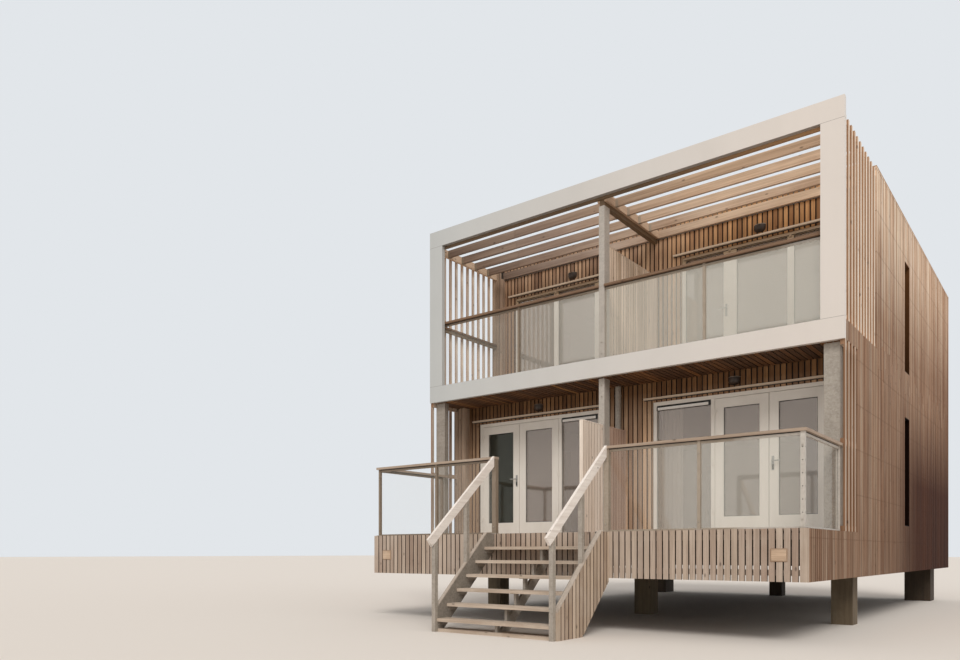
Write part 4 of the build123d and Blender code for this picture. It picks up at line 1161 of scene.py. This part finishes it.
# Roof edge trim
trim = {"tall": 0.012, "wide": 0.07, "front": (-0.02, 0.05)}
trimZ = (roofZ, roofZ + trim["tall"])
edgeTrim = Stack("roof_edge")
for side in (-1, 1):
    edgeTrim.box((side * outX, side * (outX - trim["wide"])), (upWingY, backY), trimZ)
edgeTrim.box((trim["wide"] - outX, outX - trim["wide"]), (backY - trim["wide"], backY), trimZ)
edgeTrim.box((-roomX, roomX), [roofBox[0].y + y for y in trim["front"]], trimZ)
edgeTrim.make(darkPaint, "dark_steel", edge=0.002)

# Dark reveals in the slot windows
reveal = {"thick": 0.012, "deep": 0.1, "back": 0.004}
reveals = Stack("slot_reveals")


def lineSlot(axes, middle, through, low, high):
    # two upright linings, then the sill and the head
    thick, half = reveal["thick"], slot["half"]
    for edge in (middle - half, middle + half - thick):
        reveals.board((axes, *through), (edge, edge + thick, low, high), 0, None)
    for z in (low, high - thick):
        reveals.board((axes, *through), (*about(middle, half), z, z + thick), 0, None)


for low, high in slot["heights"]:
    for side in (-1, 1):
        lineSlot("yzx", slot["y"],
                 (side * (wallX - reveal["deep"]), side * (outX - reveal["back"])), low, high)
    for x in slot["x"]:
        lineSlot("xzy", x, (backY - batten - reveal["deep"], backY - reveal["back"]), low, high)
reveals.make(revealPaint, "dark_steel")

# Plates on the skirt, left bare: a pale board in a darker border, with a screw in each corner
plate = {"thick": 0.012, "step": 0.6, "wide": 0.195, "tall": 0.155, "border": 0.012,
         "screw": (0.004, 0.002), "screws": (0.075, 0.055)}
for name, x, z in (("plate_right", 3.271, 1.04), ("plate_left", -3.075, 1.03)):
    board, pins = Stack(name), Stack(name + "_screws")
    frontY = skirt[0].y - plate["thick"]
    stepY = skirt[0].y - plate["thick"] * plate["step"]
    for border, y, tone in ((0, (stepY, skirt[0].y), 1.0),
                            (plate["border"], (frontY, stepY), 0.1)):
        board.box(about(x, plate["wide"] / 2 - border), y,
                  about(z, plate["tall"] / 2 - border), tone)
    for pinX in about(x, plate["screws"][0]):
        for pinZ in about(z, plate["screws"][1]):
            pins.rod((pinX, frontY - plate["screw"][1] / 2, pinZ), *plate["screw"], 1, 8)
    board.make(plateWood, "weathered_timber", edge=0.002)
    pins.make(zinc, "galvanised_steel")

# Pipe clips
clip = {"heights": (1.9, 2.9, 3.7), "radius": 0.054, "tall": 0.03, "half": 0.012, "into": 0.005}
clips = Stack("pipe_clips")
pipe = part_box("downpipe")
pipeX, pipeY = (pipe[0].x + pipe[1].x) / 2, (pipe[0].y + pipe[1].y) / 2
for z in clip["heights"]:
    clips.rod((pipeX, pipeY, z), clip["radius"], clip["tall"], 2, 24)
    clips.box(about(pipeX, clip["half"]), (pipeY, lowFrontY + clip["into"]),
              about(z, clip["tall"] / 2))
clips.make(zinc, "galvanised_steel")
print("small parts")

# Floor, world, light and camera
reach = 200
mesh = bpy.data.meshes.new("ground")
mesh.from_pydata([(-reach, -reach, 0), (reach, -reach, 0), (reach, reach, 0), (-reach, reach, 0)],
                 [], [(0, 1, 2, 3)])
mesh.materials.append(Finish(bpy.data.materials.new("ground_finish")).surface({
    "Base Color": tint(226, 218, 210), "Roughness": 0.9}))
ground = show("ground", mesh)

studio = {"light": 0.62, "sun": 1.7, "spread": 25, "sunTurn": (48, 0, 36)}
world = bpy.data.worlds.new("studio")
bpy.context.scene.world = world
sky = Finish(world)
shown = sky.node("ShaderNodeBackground", sockets={"Color": tint(226, 230, 234), "Strength": 1})
lighting = sky.node("ShaderNodeBackground", sockets={"Color": tint(255, 253, 250),
                                                     "Strength": studio["light"]})
rays = [sky.node("ShaderNodeLightPath", out=name)
        for name in ("Is Camera Ray", "Is Glossy Ray", "Is Transmission Ray")]
both = sky.node("ShaderNodeMixShader", sockets={0: rays[0] + rays[1] + rays[2], 1: lighting,
                                                2: shown})
sky.node("ShaderNodeOutputWorld", sockets={0: both}, out=None)

sun = bpy.data.lights.new("sun", "SUN")
sun.energy = studio["sun"]
sun.angle = math.radians(studio["spread"])
sun.color = (1, 0.97, 0.93)
show("sun", sun).rotation_euler = [math.radians(a) for a in studio["sunTurn"]]

view = {"place": (6.073, faceY - 10.86, 1.07), "turn": 38, "lens": 29.1, "shift": 0.2318}
camera = bpy.data.cameras.new("camera")
camera.sensor_width = 36
camera.lens = view["lens"]
camera.shift_y = view["shift"]
camera.clip_end = 600
stand = show("camera", camera)
stand.location = view["place"]
stand.rotation_euler = (math.radians(90), 0, math.radians(view["turn"]))
bpy.context.scene.camera = stand
bpy.context.scene.view_settings.view_transform = "Standard"
print("stage and camera")
